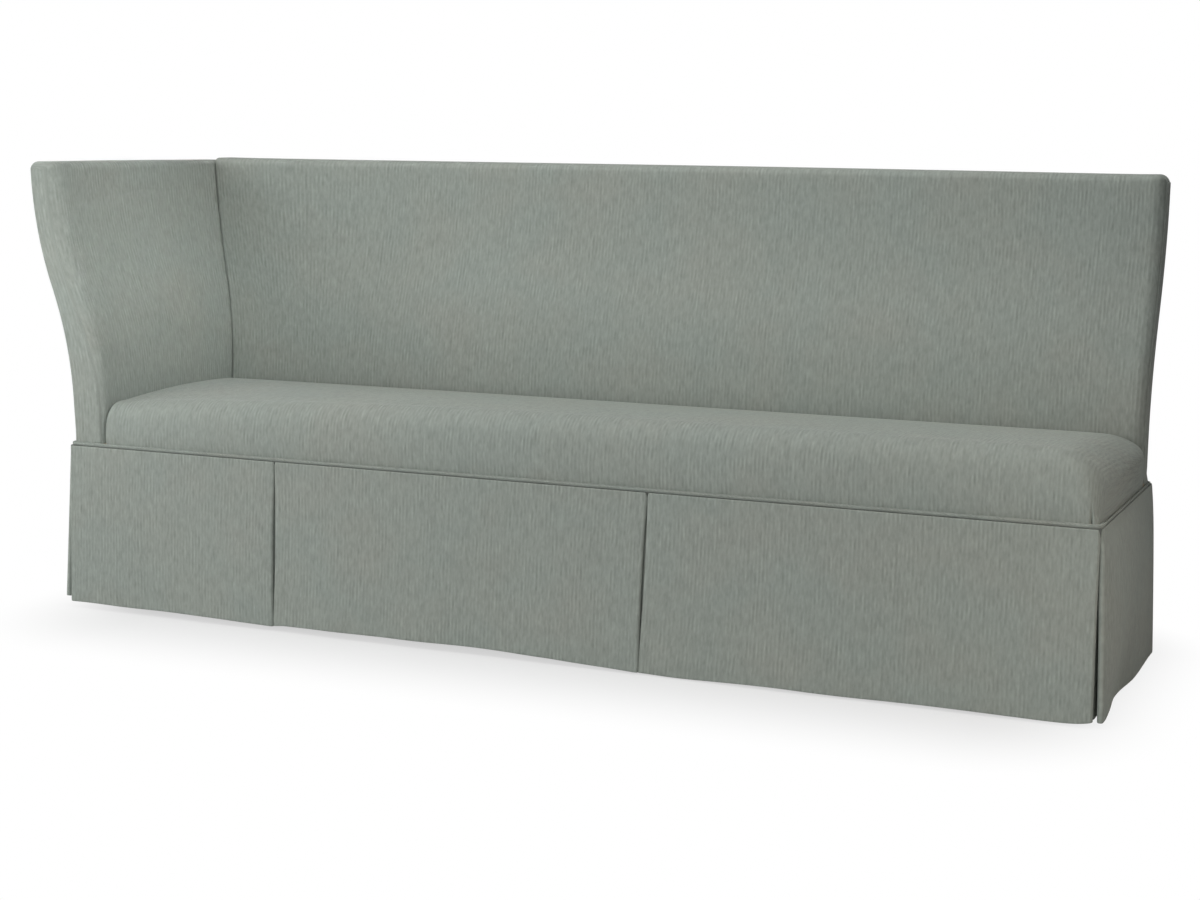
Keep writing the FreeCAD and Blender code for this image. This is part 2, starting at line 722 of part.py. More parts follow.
def skirt_parts():
    """Skirt panels, underlays, heading and welts."""
    pieces = {}
    inner_start = folded_depth + pleat_gap
    inner_end = skirt_depth - folded_depth - pleat_gap
    pleats = [skirt_length * share for share in pleat_shares]
    starts = [0] + [pleat + pleat_gap / 2 for pleat in pleats]
    ends = [pleat - pleat_gap / 2 for pleat in pleats] + [skirt_length]
    openings = [corner_opening] + [pleat_opening] * len(pleats) + [corner_opening]
    for n, name in enumerate(("left", "middle", "right")):
        pieces["skirt_front_" + name] = skirt_panel("front", starts[n], ends[n], openings[n], openings[n + 1])
    pieces["skirt_rear"] = skirt_panel("rear", 0, skirt_length, corner_opening, corner_opening)
    for side in ("left", "right"):
        pieces["skirt_" + side] = skirt_panel(side, inner_start, inner_end, -corner_reach, -corner_reach)

    pieces["pleat_underlays"] = Part.makeCompound([pleat_underlay("front", pleat) for pleat in pleats])
    pieces["corner_underlays"] = Part.makeCompound([
        corner_underlay(Vector(skirt_left, skirt_front, 0), 1, 1),
        corner_underlay(Vector(skirt_right, skirt_front, 0), -1, 1),
        corner_underlay(Vector(skirt_left, skirt_rear, 0), 1, -1),
        corner_underlay(Vector(skirt_right, skirt_rear, 0), -1, -1),
    ])
    low = fold_top + soft_gap
    for side, (place, length, flare) in sides.items():
        trim = lined_thickness if side in ("front", "rear") else cover_inset
        pieces["skirt_head_" + side] = slab(place, trim, length - trim, lined_thickness, cover_inset,
                                            low, skirt_height)
        pieces["welt_" + side] = welt(side)
    return pieces


os.makedirs("parts", exist_ok=True)
base = base_parts()
frames = upright_parts(base)
for group in (base, frames, support_parts(), soft_parts(), skirt_parts()):
    for node, shape in group.items():
        save(node, shape)
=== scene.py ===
import json
import math

import bmesh
import bpy
import numpy as np
from mathutils import Euler, Matrix, Vector, noise

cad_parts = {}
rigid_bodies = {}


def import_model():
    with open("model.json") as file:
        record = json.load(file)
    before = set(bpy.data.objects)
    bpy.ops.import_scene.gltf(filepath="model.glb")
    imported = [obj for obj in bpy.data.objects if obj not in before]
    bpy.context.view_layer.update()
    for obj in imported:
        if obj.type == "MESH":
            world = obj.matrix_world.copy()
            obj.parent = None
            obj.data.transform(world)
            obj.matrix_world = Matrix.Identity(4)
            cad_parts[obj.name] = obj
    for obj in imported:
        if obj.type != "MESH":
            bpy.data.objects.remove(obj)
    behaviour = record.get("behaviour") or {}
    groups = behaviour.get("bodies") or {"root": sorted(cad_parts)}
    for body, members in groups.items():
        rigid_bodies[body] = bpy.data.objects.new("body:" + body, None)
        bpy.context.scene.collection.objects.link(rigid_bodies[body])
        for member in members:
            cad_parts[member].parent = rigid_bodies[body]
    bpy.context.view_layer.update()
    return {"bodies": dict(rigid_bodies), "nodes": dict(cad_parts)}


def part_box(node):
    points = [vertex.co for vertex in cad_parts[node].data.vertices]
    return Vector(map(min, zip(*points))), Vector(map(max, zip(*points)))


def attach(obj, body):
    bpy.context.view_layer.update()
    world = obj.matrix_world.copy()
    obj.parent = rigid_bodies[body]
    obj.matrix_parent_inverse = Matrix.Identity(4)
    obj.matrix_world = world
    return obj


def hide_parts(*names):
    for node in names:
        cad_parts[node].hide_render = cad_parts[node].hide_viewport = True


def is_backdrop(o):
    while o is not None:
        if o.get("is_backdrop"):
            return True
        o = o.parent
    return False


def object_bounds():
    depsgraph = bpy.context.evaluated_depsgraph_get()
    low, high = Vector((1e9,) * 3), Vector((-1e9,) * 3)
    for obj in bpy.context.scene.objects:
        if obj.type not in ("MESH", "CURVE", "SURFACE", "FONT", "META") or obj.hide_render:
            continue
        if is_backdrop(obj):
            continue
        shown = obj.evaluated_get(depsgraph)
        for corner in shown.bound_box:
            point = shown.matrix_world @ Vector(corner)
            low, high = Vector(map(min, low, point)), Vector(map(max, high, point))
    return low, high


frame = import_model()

# Upholstered banquette bench: fabric, padding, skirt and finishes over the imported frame.
# Metres. +Z up, -Y front, +X the open end.

# Outside sizes, as in the solid model
SKIRT_LENGTH = 2.440
SKIRT_TOP = 0.392
SEAT_DEPTH = 0.535
TOP = 1.068
BACK_THICKNESS = 0.076
ARM_THICKNESS = 0.086
ARM_TOP_THICKNESS = 0.075
BACK_FLARE = 0.112
ARM_FLARE = 0.109
FLARE_START = 0.457
COVER_INSET = 0.009
COVER_BOTTOM = 0.386
SEAT_EDGE = 0.508
CROWN_RISE = 0.0305
FRONT_ROLL = (0.062, 0.044)
FRONT_SWELL = 0.055
CROWN_BULGE = (0.009, 0.006)
CROWN_RUN = 1.250
ARM_DIP = 0.009
END_ROLL = 0.088
END_DROP = 0.044
END_CORNER = (0.042, 0.036)
LOW_CORNER = (0.020, 0.040)
LOW_CORNER_TALL = 0.10
FOOT_CORNER = (0.012, 0.012)
FOOT_CORNER_TALL = 0.022
WELT_RADIUS = 0.004
HEM = 0.009
FRONT_FLARE = 0.008
SIDE_FLARE = 0.016
CLOTH = 0.003
RETURN_WIDTH = 0.072
HEAD_HEIGHT = 0.016
PLEATS = (0.2352, 0.61)

# Places that follow
ARM_INNER_FLARE = ARM_FLARE + ARM_THICKNESS - ARM_TOP_THICKNESS
SKIRT_DEPTH = SEAT_DEPTH + BACK_THICKNESS + COVER_INSET
RIGHT = (SKIRT_LENGTH + ARM_FLARE - COVER_INSET - SIDE_FLARE) / 2
LEFT = RIGHT - SKIRT_LENGTH
FRONT = (FRONT_FLARE - (BACK_FLARE - COVER_INSET) - SKIRT_DEPTH) / 2
REAR = FRONT + SKIRT_DEPTH
BACK_FACE = FRONT + SEAT_DEPTH
ARM_FACE = LEFT + COVER_INSET + ARM_THICKNESS
ROOT = next(iter(frame["bodies"]))


# Shared shapes

def lean(flare, z):
    """How far an ogee stands out of plumb at a height."""
    rise = TOP - FLARE_START
    radius = (rise ** 2 + flare ** 2) / (4 * flare)
    up, down = max(z - FLARE_START, 0), max(TOP - z, 0)
    if up < down:
        return radius - math.sqrt(radius ** 2 - up ** 2)
    return flare - radius + math.sqrt(radius ** 2 - down ** 2)


def arc_through(a, b, c, count):
    """Points on the circle through three points of a plane, from the first to the last."""
    (ax, ay), (bx, by), (cx, cy) = a, b, c
    d = 2 * (ax * (by - cy) + bx * (cy - ay) + cx * (ay - by))
    a2, b2, c2 = ax ** 2 + ay ** 2, bx ** 2 + by ** 2, cx ** 2 + cy ** 2
    ux = (a2 * (by - cy) + b2 * (cy - ay) + c2 * (ay - by)) / d
    uy = (a2 * (cx - bx) + b2 * (ax - cx) + c2 * (bx - ax)) / d
    radius = math.hypot(ax - ux, ay - uy)
    start, mid, end = (math.atan2(y - uy, x - ux) for x, y in (a, b, c))
    turn = (end - start) % math.tau
    if (mid - start) % math.tau > turn:
        turn -= math.tau
    angles = [start + turn * n / count for n in range(count + 1)]
    return [(ux + radius * math.cos(t), uy + radius * math.sin(t)) for t in angles]


def steps(low, high, pitch):
    """Evenly spaced values from low to high."""
    return list(np.linspace(low, high, max(int(round(abs(high - low) / pitch)), 1) + 1))


def drawn_in(distance, radius):
    """How far a rounded end is drawn in at a distance from it."""
    if distance >= radius:
        return 0.0
    return radius - math.sqrt(radius ** 2 - (radius - distance) ** 2)


def rounded_end(radius, count):
    """Distances from an end at which a round of that radius is divided evenly."""
    return [radius * (1 - math.cos(math.pi / 2 * n / count)) for n in range(count + 1)]


def smoothstep(value):
    value = min(max(value, 0.0), 1.0)
    return value * value * (3 - 2 * value)


def rising(value, start, run):
    """A soft rise from 0 at the start to 1 one run further on."""
    return smoothstep((value - start) / run)


def make_object(name, points, faces, weave=None):
    mesh = bpy.data.meshes.new(name)
    mesh.from_pydata([tuple(p) for p in points], [], faces)
    mesh.polygons.foreach_set("use_smooth", [True] * len(mesh.polygons))
    if weave is not None:
        attribute = mesh.attributes.new("weave", "FLOAT_VECTOR", "POINT")
        attribute.data.foreach_set("vector", np.asarray(weave, np.float32).ravel())
    mesh.update()
    obj = bpy.data.objects.new(name, mesh)
    bpy.context.scene.collection.objects.link(obj)
    return obj


def closed_form(name, rings, weaves, rise, run):
    """A closed skin over like rings. A ring goes rise steps up, run steps over, rise down, run back."""
    rings, weaves = np.array(rings, float), np.array(weaves, float)
    stations, around = rings.shape[:2]
    points, cloth, faces = [rings.reshape(-1, 3)], [weaves.reshape(-1, 3)], []
    for i in range(stations - 1):
        for j in range(around):
            k = (j + 1) % around
            faces.append((i * around + j, i * around + k, (i + 1) * around + k, (i + 1) * around + j))
    base = stations * around
    for station, flip in ((0, True), (stations - 1, False)):
        index = np.zeros((run + 1, rise + 1), int)
        for j in range(rise + 1):
            index[0, j] = station * around + j
            index[run, j] = station * around + 2 * rise + run - j
        for i in range(run + 1):
            index[i, rise] = station * around + rise + i
            index[i, 0] = station * around + (2 * rise + 2 * run - i) % around
        inner_points, inner_cloth = [], []
        for source, made in ((rings[station], inner_points), (weaves[station], inner_cloth)):
            def at(i, j):
                return source[index[i, j] - station * around]
            for i in range(1, run):
                for j in range(1, rise):
                    u, v = i / run, j / rise
                    edge = (1 - u) * at(0, j) + u * at(run, j) + (1 - v) * at(i, 0) + v * at(i, rise)
                    corner = ((1 - u) * (1 - v) * at(0, 0) + u * (1 - v) * at(run, 0)
                              + (1 - u) * v * at(0, rise) + u * v * at(run, rise))
                    made.append(edge - corner)
        for n in range(len(inner_points)):
            index[1 + n // (rise - 1), 1 + n % (rise - 1)] = base + n
        base += len(inner_points)
        points.append(np.array(inner_points))
        cloth.append(np.array(inner_cloth))
        for i in range(run):
            for j in range(rise):
                quad = (index[i, j], index[i, j + 1], index[i + 1, j + 1], index[i + 1, j])
                faces.append(tuple(int(q) for q in (quad[::-1] if flip else quad)))
    obj = make_object(name, np.concatenate(points), faces, np.concatenate(cloth))
    outward(obj)
    return obj


def outward(obj):
    """Turn all faces of a closed piece outwards."""
    work = bmesh.new()
    work.from_mesh(obj.data)
    bmesh.ops.recalc_face_normals(work, faces=work.faces)
    work.to_mesh(obj.data)
    work.free()


def unit(vectors):
    return vectors / np.linalg.norm(vectors, axis=-1, keepdims=True)


def cloth_slab(name, grid, weave, thickness, lip=0.5):
    """A closed thickness of cloth behind a grid of points on its outer side, with soft edges."""
    grid, weave = np.array(grid, float), np.array(weave, float)
    normal = unit(np.cross(np.gradient(grid, axis=0), np.gradient(grid, axis=1)))
    columns, rows = grid.shape[:2]
    soft = grid.copy()
    back = grid - normal * thickness
    for layer in (soft, back):
        for edge, beside in ((0, 1), (-1, -2)):
            layer[edge] += unit(grid[beside] - grid[edge]) * thickness * lip
            layer[:, edge] += unit(grid[:, beside] - grid[:, edge]) * thickness * lip
    rim = [(i, 0) for i in range(columns)] + [(columns - 1, j) for j in range(1, rows)]
    rim += [(i, rows - 1) for i in range(columns - 2, -1, -1)] + [(0, j) for j in range(rows - 2, 0, -1)]
    size = columns * rows
    middle = [grid[i, j] - normal[i, j] * thickness / 2 for i, j in rim]
    points = np.concatenate([soft.reshape(-1, 3), back.reshape(-1, 3), np.array(middle)])
    flat = weave.reshape(-1, 3)
    cloth = np.concatenate([flat, flat, np.array([weave[i, j] for i, j in rim])])
    faces = []
    for i in range(columns - 1):
        for j in range(rows - 1):
            a, b, c, d = i * rows + j, (i + 1) * rows + j, (i + 1) * rows + j + 1, i * rows + j + 1
            faces.append((a, b, c, d))
            faces.append((size + d, size + c, size + b, size + a))
    for n, (i, j) in enumerate(rim):
        i2, j2 = rim[(n + 1) % len(rim)]
        a, b = i * rows + j, i2 * rows + j2
        m, m2 = 2 * size + n, 2 * size + (n + 1) % len(rim)
        faces.append((a, m, m2, b))
        faces.append((m, size + a, size + b, m2))
    obj = make_object(name, points, faces, cloth)
    outward(obj)
    return obj


def laid_cloth(name, across, heights, spot, thickness, turned=False, lip=0.5):
    """A slab over a grid. spot(u, z) gives a place on its outer side and the way along its cloth."""
    spots = [[spot(u, z) for z in heights] for u in (across[::-1] if turned else across)]
    grid, weave = ([[pair[k] for pair in column] for column in spots] for k in (0, 1))
    return cloth_slab(name, grid, weave, thickness, lip)


def subdivide(obj):
    smooth = obj.modifiers.new("Subdivision", "SUBSURF")
    smooth.levels = smooth.render_levels = 1
    return obj


# Padding under cloth: a closed form that swells under light pressure, held where it is tacked

FRAMES = 16
EVEN_ROUNDS = 40
PAD_CLOTH = {
    "quality": 4, "mass": 0.35, "tension_stiffness": 12, "compression_stiffness": 12, "shear_stiffness": 8,
    "bending_stiffness": 1.5, "use_pressure": True, "vertex_group_mass": "held",
}


def swell(obj, test, pressure, cap):
    """Let a pad swell where the test doesn't hold it, by no more than the cap."""
    held = np.array([bool(test(v.co)) for v in obj.data.vertices])
    scene = bpy.context.scene
    rest = np.array([v.co for v in obj.data.vertices])
    group = obj.vertex_groups.new(name="held")
    group.add([int(i) for i in np.nonzero(held)[0]], 1.0, "REPLACE")
    cloth = obj.modifiers.new("Cloth", "CLOTH")
    settings = cloth.settings
    for name, value in PAD_CLOTH.items():
        setattr(settings, name, value)
    settings.uniform_pressure_force = pressure
    settings.effector_weights.gravity = 0
    cloth.point_cache.frame_start = 1
    cloth.point_cache.frame_end = FRAMES
    for n in range(1, FRAMES + 1):
        scene.frame_set(n)
    shown = obj.evaluated_get(bpy.context.evaluated_depsgraph_get())
    moved = np.array([v.co for v in shown.data.vertices]) - rest
    obj.modifiers.remove(cloth)
    scene.frame_set(1)
    length = np.linalg.norm(moved, axis=1, keepdims=True)
    moved *= np.minimum(1, cap / np.maximum(length, 1e-9))
    moved = spread(obj, moved, held, EVEN_ROUNDS)
    rest = rest + moved
    obj.data.vertices.foreach_set("co", rest.astype(np.float32).ravel())
    obj.vertex_groups.remove(group)
    obj.data.update()
    subdivide(obj)


def spread(obj, values, held, rounds):
    """Even out values over neighbouring points, except where they are held."""
    edges = np.array([e.vertices[:] for e in obj.data.edges])
    count = np.bincount(edges.ravel(), minlength=len(values))[:, None]
    free = (~held)[:, None]
    for _ in range(rounds):
        total = np.zeros_like(values)
        np.add.at(total, edges[:, 0], values[edges[:, 1]])
        np.add.at(total, edges[:, 1], values[edges[:, 0]])
        values = np.where(free, 0.5 * values + 0.5 * total / count, values)
    return values


# Sides of the arm, with its padding

ARM_PROUD = 0.003
ARM_PROUD_FROM = (0.41, 0.08)
ARM_CROWN = 0.0105
CROWN_LOW = 0.8


def arm_outer_x(z):
    """Outer side of the arm, its padding a little proud of the wood above the base."""
    return LEFT + COVER_INSET - lean(ARM_FLARE, z) - ARM_PROUD * rising(z, *ARM_PROUD_FROM)


def arm_inner_x(z, reach=1.0):
    """Inner side of the arm, crowned where the reach is 1."""
    share = min(max((z - SEAT_EDGE) / (TOP - SEAT_EDGE), 0), 1) ** CROWN_LOW
    return ARM_FACE - lean(ARM_INNER_FLARE, z) + ARM_CROWN * reach * math.sin(math.pi * share)


# Back: inside back cover over its foam, from the arm to the open end

PITCH = 0.014
END_X = RIGHT - COVER_INSET
BACK_OUT = -COVER_INSET
BACK_IN = BACK_OUT - BACK_THICKNESS
INNER_ROUND = 0.016
OUTER_ROUND = 0.009
TOP_ROUND = 0.022
CREASE_ROUND = 0.008
END_SOFT = 0.026
PANEL_SINK = 0.002
BACK_TOP_RISE = (0.0042, -0.0025)
BACK_ARCH = 0.0022
END_LEAN = (-0.004, 0.001)
END_LEAN_RUN = 0.5
END_REACH = 0.2
WAIST = 0.0018
WAIST_SIZE = (0.035, 0.04)
ABOVE_WELT = 0.025
CORNER_REACH_BACK = 0.45


def end_shift(x, z):
    """The open end stands further out at its top than at the seat, and is drawn in above the welt."""
    lean_out = END_LEAN[0] + (END_LEAN[1] - END_LEAN[0]) * rising(z, SEAT_EDGE, END_LEAN_RUN)
    waist = -WAIST * smoothstep(1 - (z - SKIRT_TOP) / WAIST_SIZE[0])
    near_end = lean_out * rising(x, END_X - END_REACH, END_REACH)
    near_end += waist * rising(x, END_X - WAIST_SIZE[1], WAIST_SIZE[1])
    return rising(z, SKIRT_TOP, ABOVE_WELT) * near_end


# How many steps a section has up a side and over its top, and those of the whole ring
SIDE_COUNT = 46
TOP_COUNT = 3
RING_RISE = SIDE_COUNT + 2
RING_RUN = TOP_COUNT + 5


def upright_ring(inner_in, outer_in, top_in, inner_round, outer_round, place, way):
    """One section of the back or arm: up the inner side, over the top and down the outer side.

    place(side, z) gives a point of the inner or the outer side. The first two numbers are how far
    those sides are drawn in, and the way leads from the inner side to the outer one."""
    top = TOP - top_in

    def inner(z, d=0.0):
        return place("in", z) + way * (inner_in + d)

    def outer(z, d=0.0):
        return place("out", z) - way * (outer_in + d)

    def side(low, high):
        return steps(low, high, abs(high - low) / SIDE_COUNT)

    quarter = [math.pi / 2 * n / 4 for n in range(1, 5)]
    points = [inner(z) for z in side(COVER_BOTTOM, top - inner_round)]
    points += [inner(top - inner_round * (1 - math.sin(t)), inner_round * (1 - math.cos(t))) for t in quarter]
    first, last = inner(top, inner_round), outer(top, outer_round)
    points += [first * (1 - share) + last * share for share in np.linspace(0, 1, TOP_COUNT + 2)[1:-1]]
    points += [outer(top - outer_round * (1 - math.cos(t)), outer_round * (1 - math.sin(t)))
               for t in [0] + quarter[:-1]]
    return points + [outer(z) for z in side(top - outer_round, COVER_BOTTOM)]


def back_section(x, left_share):
    distance = END_X - x
    crease = drawn_in(x - ARM_FACE, CREASE_ROUND)
    inner_in = max(drawn_in(distance, END_SOFT), crease)
    outer_in = max(drawn_in(distance, OUTER_ROUND), PANEL_SINK)
    slope = BACK_TOP_RISE[1] - BACK_TOP_RISE[0]
    share = min(max((x - ARM_FACE) / (END_X - ARM_FACE), 0), 1)
    rise = BACK_TOP_RISE[0] + slope * share + BACK_ARCH * math.sin(math.pi * share ** 1.5)
    top_in = max(drawn_in(distance, TOP_ROUND), crease) - rise

    def place(kind, z):
        side = BACK_IN if kind == "in" else BACK_OUT
        shift = left_share * (arm_inner_x(z) - ARM_FACE) + end_shift(x, z)
        return Vector((x + shift, REAR + side + lean(BACK_FLARE, z), z))

    inner_round = max(INNER_ROUND - max(inner_in, 0), 0.001)
    outer_round = max(OUTER_ROUND - max(outer_in - PANEL_SINK, 0), 0.001)
    return upright_ring(inner_in, outer_in, top_in, inner_round, outer_round, place, Vector((0, 1, 0)))


def close_ring(points, run):
    """Add the ring's underside, from its last point back to the first."""
    first, last = points[0], points[-1]
    under = [last.lerp(first, n / run) for n in range(1, run)]
    return [tuple(p) for p in points + under]


def path_lengths(points):
    total, made = 0.0, [0.0]
    for a, b in zip(points, points[1:]):
        total += (Vector(b) - Vector(a)).length
        made.append(total)
    return made


def make_back():
    xs = [ARM_FACE + d for d in rounded_end(CREASE_ROUND, 3)]
    xs += steps(ARM_FACE + CREASE_ROUND, END_X - END_SOFT, PITCH)[1:]
    xs += [END_X - d for d in reversed(rounded_end(END_SOFT, 6))][1:]
    rings, weaves = [], []
    for x in xs:
        share = 1 - rising(x, ARM_FACE, CORNER_REACH_BACK)
        ring = close_ring(back_section(x, share), RING_RUN)
        rings.append(ring)
        weaves.append([(x, b, 1.0) for b in path_lengths(ring)])
    return closed_form("inside_back", rings, weaves, RING_RISE, RING_RUN)


# Arm: inside arm cover over its foam, wrapped round the front

FRONT_Y = FRONT + COVER_INSET
REAR_Y = REAR - COVER_INSET
ARM_DEPTH = REAR_Y - FRONT_Y
ARM_FRONT_ROUND = 0.046
ARM_LOW_ROUND = 0.018
ARM_OUTER_ROUND = 0.009
ARM_CORNER_ROUND = 0.024
ARM_TOP_FALL = (0.008, 0.003)
ARM_ROLL_FROM = (0.47, 0.30)
ARM_CROWN_REACH = 0.3


def arm_front_round(z):
    """The arm's inner front edge is crisp beside the seat and a soft roll above it."""
    return ARM_LOW_ROUND + (ARM_FRONT_ROUND - ARM_LOW_ROUND) * rising(z, *ARM_ROLL_FROM)


def arm_section(distance):
    """A section of the arm at a distance behind its front."""
    outer_in = max(drawn_in(distance, ARM_OUTER_ROUND), PANEL_SINK * smoothstep(distance / 0.02))
    fall = ARM_TOP_FALL[0] + (ARM_TOP_FALL[1] - ARM_TOP_FALL[0]) * distance / ARM_DEPTH
    top_in = drawn_in(distance, ARM_CORNER_ROUND) + fall
    reach = smoothstep(distance / ARM_CROWN_REACH)
    share = (distance / ARM_DEPTH) ** 2

    def place(kind, z):
        y = FRONT_Y + distance + share * lean(BACK_FLARE, z)
        if kind == "in":
            rolled = drawn_in(distance, arm_front_round(z))
            return Vector((arm_inner_x(z, reach) - rolled, y, z))
        return Vector((arm_outer_x(z), y, z))

    inner_round = max(INNER_ROUND * (1 - drawn_in(distance, ARM_FRONT_ROUND) / ARM_FRONT_ROUND), 0.001)
    outer_round = max(OUTER_ROUND * (1 - outer_in / ARM_OUTER_ROUND), 0.001)
    return upright_ring(0.0, outer_in, top_in, inner_round, outer_round, place, Vector((-1, 0, 0)))


def make_arm():
    ds = rounded_end(ARM_FRONT_ROUND, 9)
    ds += steps(ARM_FRONT_ROUND, ARM_DEPTH - 0.002, PITCH)[1:]
    rings, weaves = [], []
    for d in ds:
        ring = close_ring(arm_section(d), RING_RUN)
        rings.append(ring)
        across = d - (math.pi / 2 - 1) * max(ARM_FRONT_ROUND - d, 0)
        weaves.append([(across, b, 2.0) for b in path_lengths(ring)])
    obj = closed_form("inside_arm", rings, weaves, RING_RISE, RING_RUN)
    carry_weave_round_front(obj)
    return obj


def carry_weave_round_front(obj):
    """The cloth's way across goes on over the arm's front face, so its ribs stay upright there."""
    attribute = obj.data.attributes["weave"].data
    edge = FRONT_Y + 0.0008
    for n, vertex in enumerate(obj.data.vertices):
        if vertex.co.y < edge:
            z = vertex.co.z
            inner = arm_inner_x(z, 0) - ARM_FRONT_ROUND
            away = inner - vertex.co.x
            seed = attribute[n].vector[2]
            attribute[n].vector = (-(math.pi / 2 - 1) * ARM_FRONT_ROUND - away, z, seed)


# Seat: one crowned pad with a soft front roll, pulled over the open end

SEAT_FRONT = (8, 3)
SEAT_CLEAR = 0.0003
SEAT_LEFT = ARM_FACE + SEAT_CLEAR
SEAT_REAR = BACK_FACE - SEAT_CLEAR
SEAT_CREASE = 0.010
SEAT_SWELL_IN = 0.0015
SEAT_TUCK = 0.008
SEAT_RUN = 44
DART_AWAY = 0.014
DART_WIDE = 0.0020
DART_DEEP = 0.007
DART_TALL = 0.045
DART_STEP = 0.7
ROLL_SHARE = 0.72
PLAIN = SKIRT_TOP + 0.009


def bell(away, width):
    """1 at its middle, and less on both sides of it."""
    return math.exp(-(away / width) ** 2)


def quarter_ellipse(distance, length):
    share = min(max(distance / length, 0), 1)
    return math.sqrt(1 - (1 - share) ** 2)


def seat_section(x):
    near_arm = max(1 - (x - SEAT_LEFT) / CROWN_RUN, 0)
    roll = quarter_ellipse(END_X - x, END_ROLL)
    corner = quarter_ellipse(END_X - x, END_CORNER[0])
    crease = drawn_in(x - SEAT_LEFT, SEAT_CREASE)
    front = FRONT_Y + END_CORNER[1] * (1 - corner) + SEAT_SWELL_IN + crease
    rear = SEAT_REAR
    edge = SEAT_EDGE - END_DROP * (1 - roll) - SEAT_SWELL_IN - crease
    top = edge + (CROWN_RISE - (CROWN_RISE + ARM_DIP) * near_arm ** 2) * roll
    foot = top - FRONT_ROLL[1]
    roll_end = front + FRONT_ROLL[0]
    bulge = front - FRONT_SWELL * (foot - PLAIN)
    bulge_up = CROWN_BULGE[1] + (CROWN_BULGE[0] - CROWN_BULGE[1]) * min(2 * near_arm, 1)
    crown = (top + edge) / 2 + bulge_up * (1 + roll) / 2
    pinch = DART_DEEP * bell(END_X - x - DART_AWAY, DART_WIDE)
    tuck_in = front - SEAT_SWELL_IN + SEAT_CLEAR
    low = [(tuck_in, z) for z in steps(COVER_BOTTOM, PLAIN, (PLAIN - COVER_BOTTOM) / SEAT_FRONT[1])]
    face = arc_through((tuck_in, PLAIN), (bulge, (PLAIN + foot) / 2), (front, foot), 5)
    shoulder = (roll_end - FRONT_ROLL[0] * ROLL_SHARE, foot + FRONT_ROLL[1] * ROLL_SHARE)
    round_over = arc_through((front, foot), shoulder, (roll_end, top), 7)
    deck = arc_through((roll_end, top), ((roll_end + rear) / 2, crown), (rear, edge), 34)
    points = low + face[1:] + round_over[1:] + deck[1:-1]
    full, low_in, foot_in = (deep * (1 - quarter_ellipse(END_X - x, reach))
                             for reach, deep in (END_CORNER, LOW_CORNER, FOOT_CORNER))

    def turned(b):
        """How much the corner at a height stands back beyond the corner at the seat's top."""
        inset = full + (low_in - full) * smoothstep(1 - (b - PLAIN) / LOW_CORNER_TALL)
        inset += (foot_in - inset) * smoothstep(1 - (b - PLAIN) / FOOT_CORNER_TALL)
        return inset - full + pinch * smoothstep(1 - (b - PLAIN) / DART_TALL)

    points = [(a + turned(b), b) if a < roll_end else (a, b) for a, b in points]
    y, z = deck[-1]
    points += [(y - SEAT_TUCK * 0.3, z - SEAT_TUCK * 0.3), (y, z - SEAT_TUCK)]
    points += [(y, h) for h in steps(z - SEAT_TUCK, COVER_BOTTOM, (z - SEAT_TUCK - COVER_BOTTOM) / 8)[1:]]
    return [Vector((x, a, b)) for a, b in points]


def make_seat():
    xs = [SEAT_LEFT + d for d in rounded_end(SEAT_CREASE, 3)]
    xs += steps(SEAT_LEFT + SEAT_CREASE, END_X - END_ROLL, PITCH)[1:]
    xs += [END_X - d for d in reversed(rounded_end(END_ROLL, 14))][1:]
    xs = sorted(xs + [END_X - DART_AWAY + DART_WIDE * k * DART_STEP for k in range(-3, 4)])
    rings, weaves = [], []
    plain = seat_section(END_X - END_ROLL)
    rise = (len(plain) - 1 - SEAT_RUN) // 2
    plain = close_ring(plain, SEAT_RUN)
    for x in xs:
        ring = close_ring(seat_section(x), SEAT_RUN)
        rings.append(ring)
        turn = [p[1] - q[1] if x > END_X - END_ROLL else 0.0 for p, q in zip(ring, plain)]
        weaves.append([(x + t, b, 3.0) for t, b in zip(turn, path_lengths(ring))])
    obj = closed_form("seat", rings, weaves, rise, SEAT_RUN)
    attribute = obj.data.attributes["weave"].data
    edge = np.array(rings[-1])
    for n in range(len(xs) * len(plain), len(obj.data.vertices)):
        p = obj.data.vertices[n].co
        if p.x > END_X - 0.001:
            inward = np.linalg.norm(edge - np.array(p), axis=1).min()
            across, along, seed = attribute[n].vector
            attribute[n].vector = (across + inward, along, seed)
    return obj


# Panels sewn over the outside of the arm and of the back

WRAP = 0.020
PANEL = 0.0024
PANEL_OUT = 0.0004
PANEL_EASE = 0.003


def outside_panels():
    zs = steps(COVER_BOTTOM, TOP - WRAP, 0.014)
    outer_y, inner_y = REAR + BACK_OUT, REAR + BACK_IN

    def on_back(share, z):
        left = arm_outer_x(z) - PANEL_OUT
        x = left + (END_X - PANEL_EASE - left) * share
        x += end_shift(x, z)
        return (x, outer_y + PANEL_OUT + lean(BACK_FLARE, z), z), (x, z, 4.0)

    def on_arm(share, z):
        low, high = FRONT_Y + WRAP, outer_y - PANEL + lean(BACK_FLARE, z)
        y = low + (high - low) * share
        return (arm_outer_x(z) - PANEL_OUT, y, z), (y, z, 5.0)

    def on_end(share, z):
        low = inner_y + lean(BACK_FLARE, z) + END_SOFT * 0.8
        high = outer_y + lean(BACK_FLARE, z) - OUTER_ROUND * 0.5
        y = low + (high - low) * share
        return (END_X + PANEL_OUT + end_shift(END_X, z), y, z), (y, z, 6.0)

    return (laid_cloth("outside_back", steps(0, 1, 0.0075), zs, on_back, PANEL, turned=True),
            laid_cloth("outside_arm", steps(0, 1, 0.025), zs, on_arm, PANEL, turned=True),
            laid_cloth("back_end", steps(0, 1, 0.125), zs, on_end, PANEL))


# Skirt: s runs along a side and d in from its outer plane

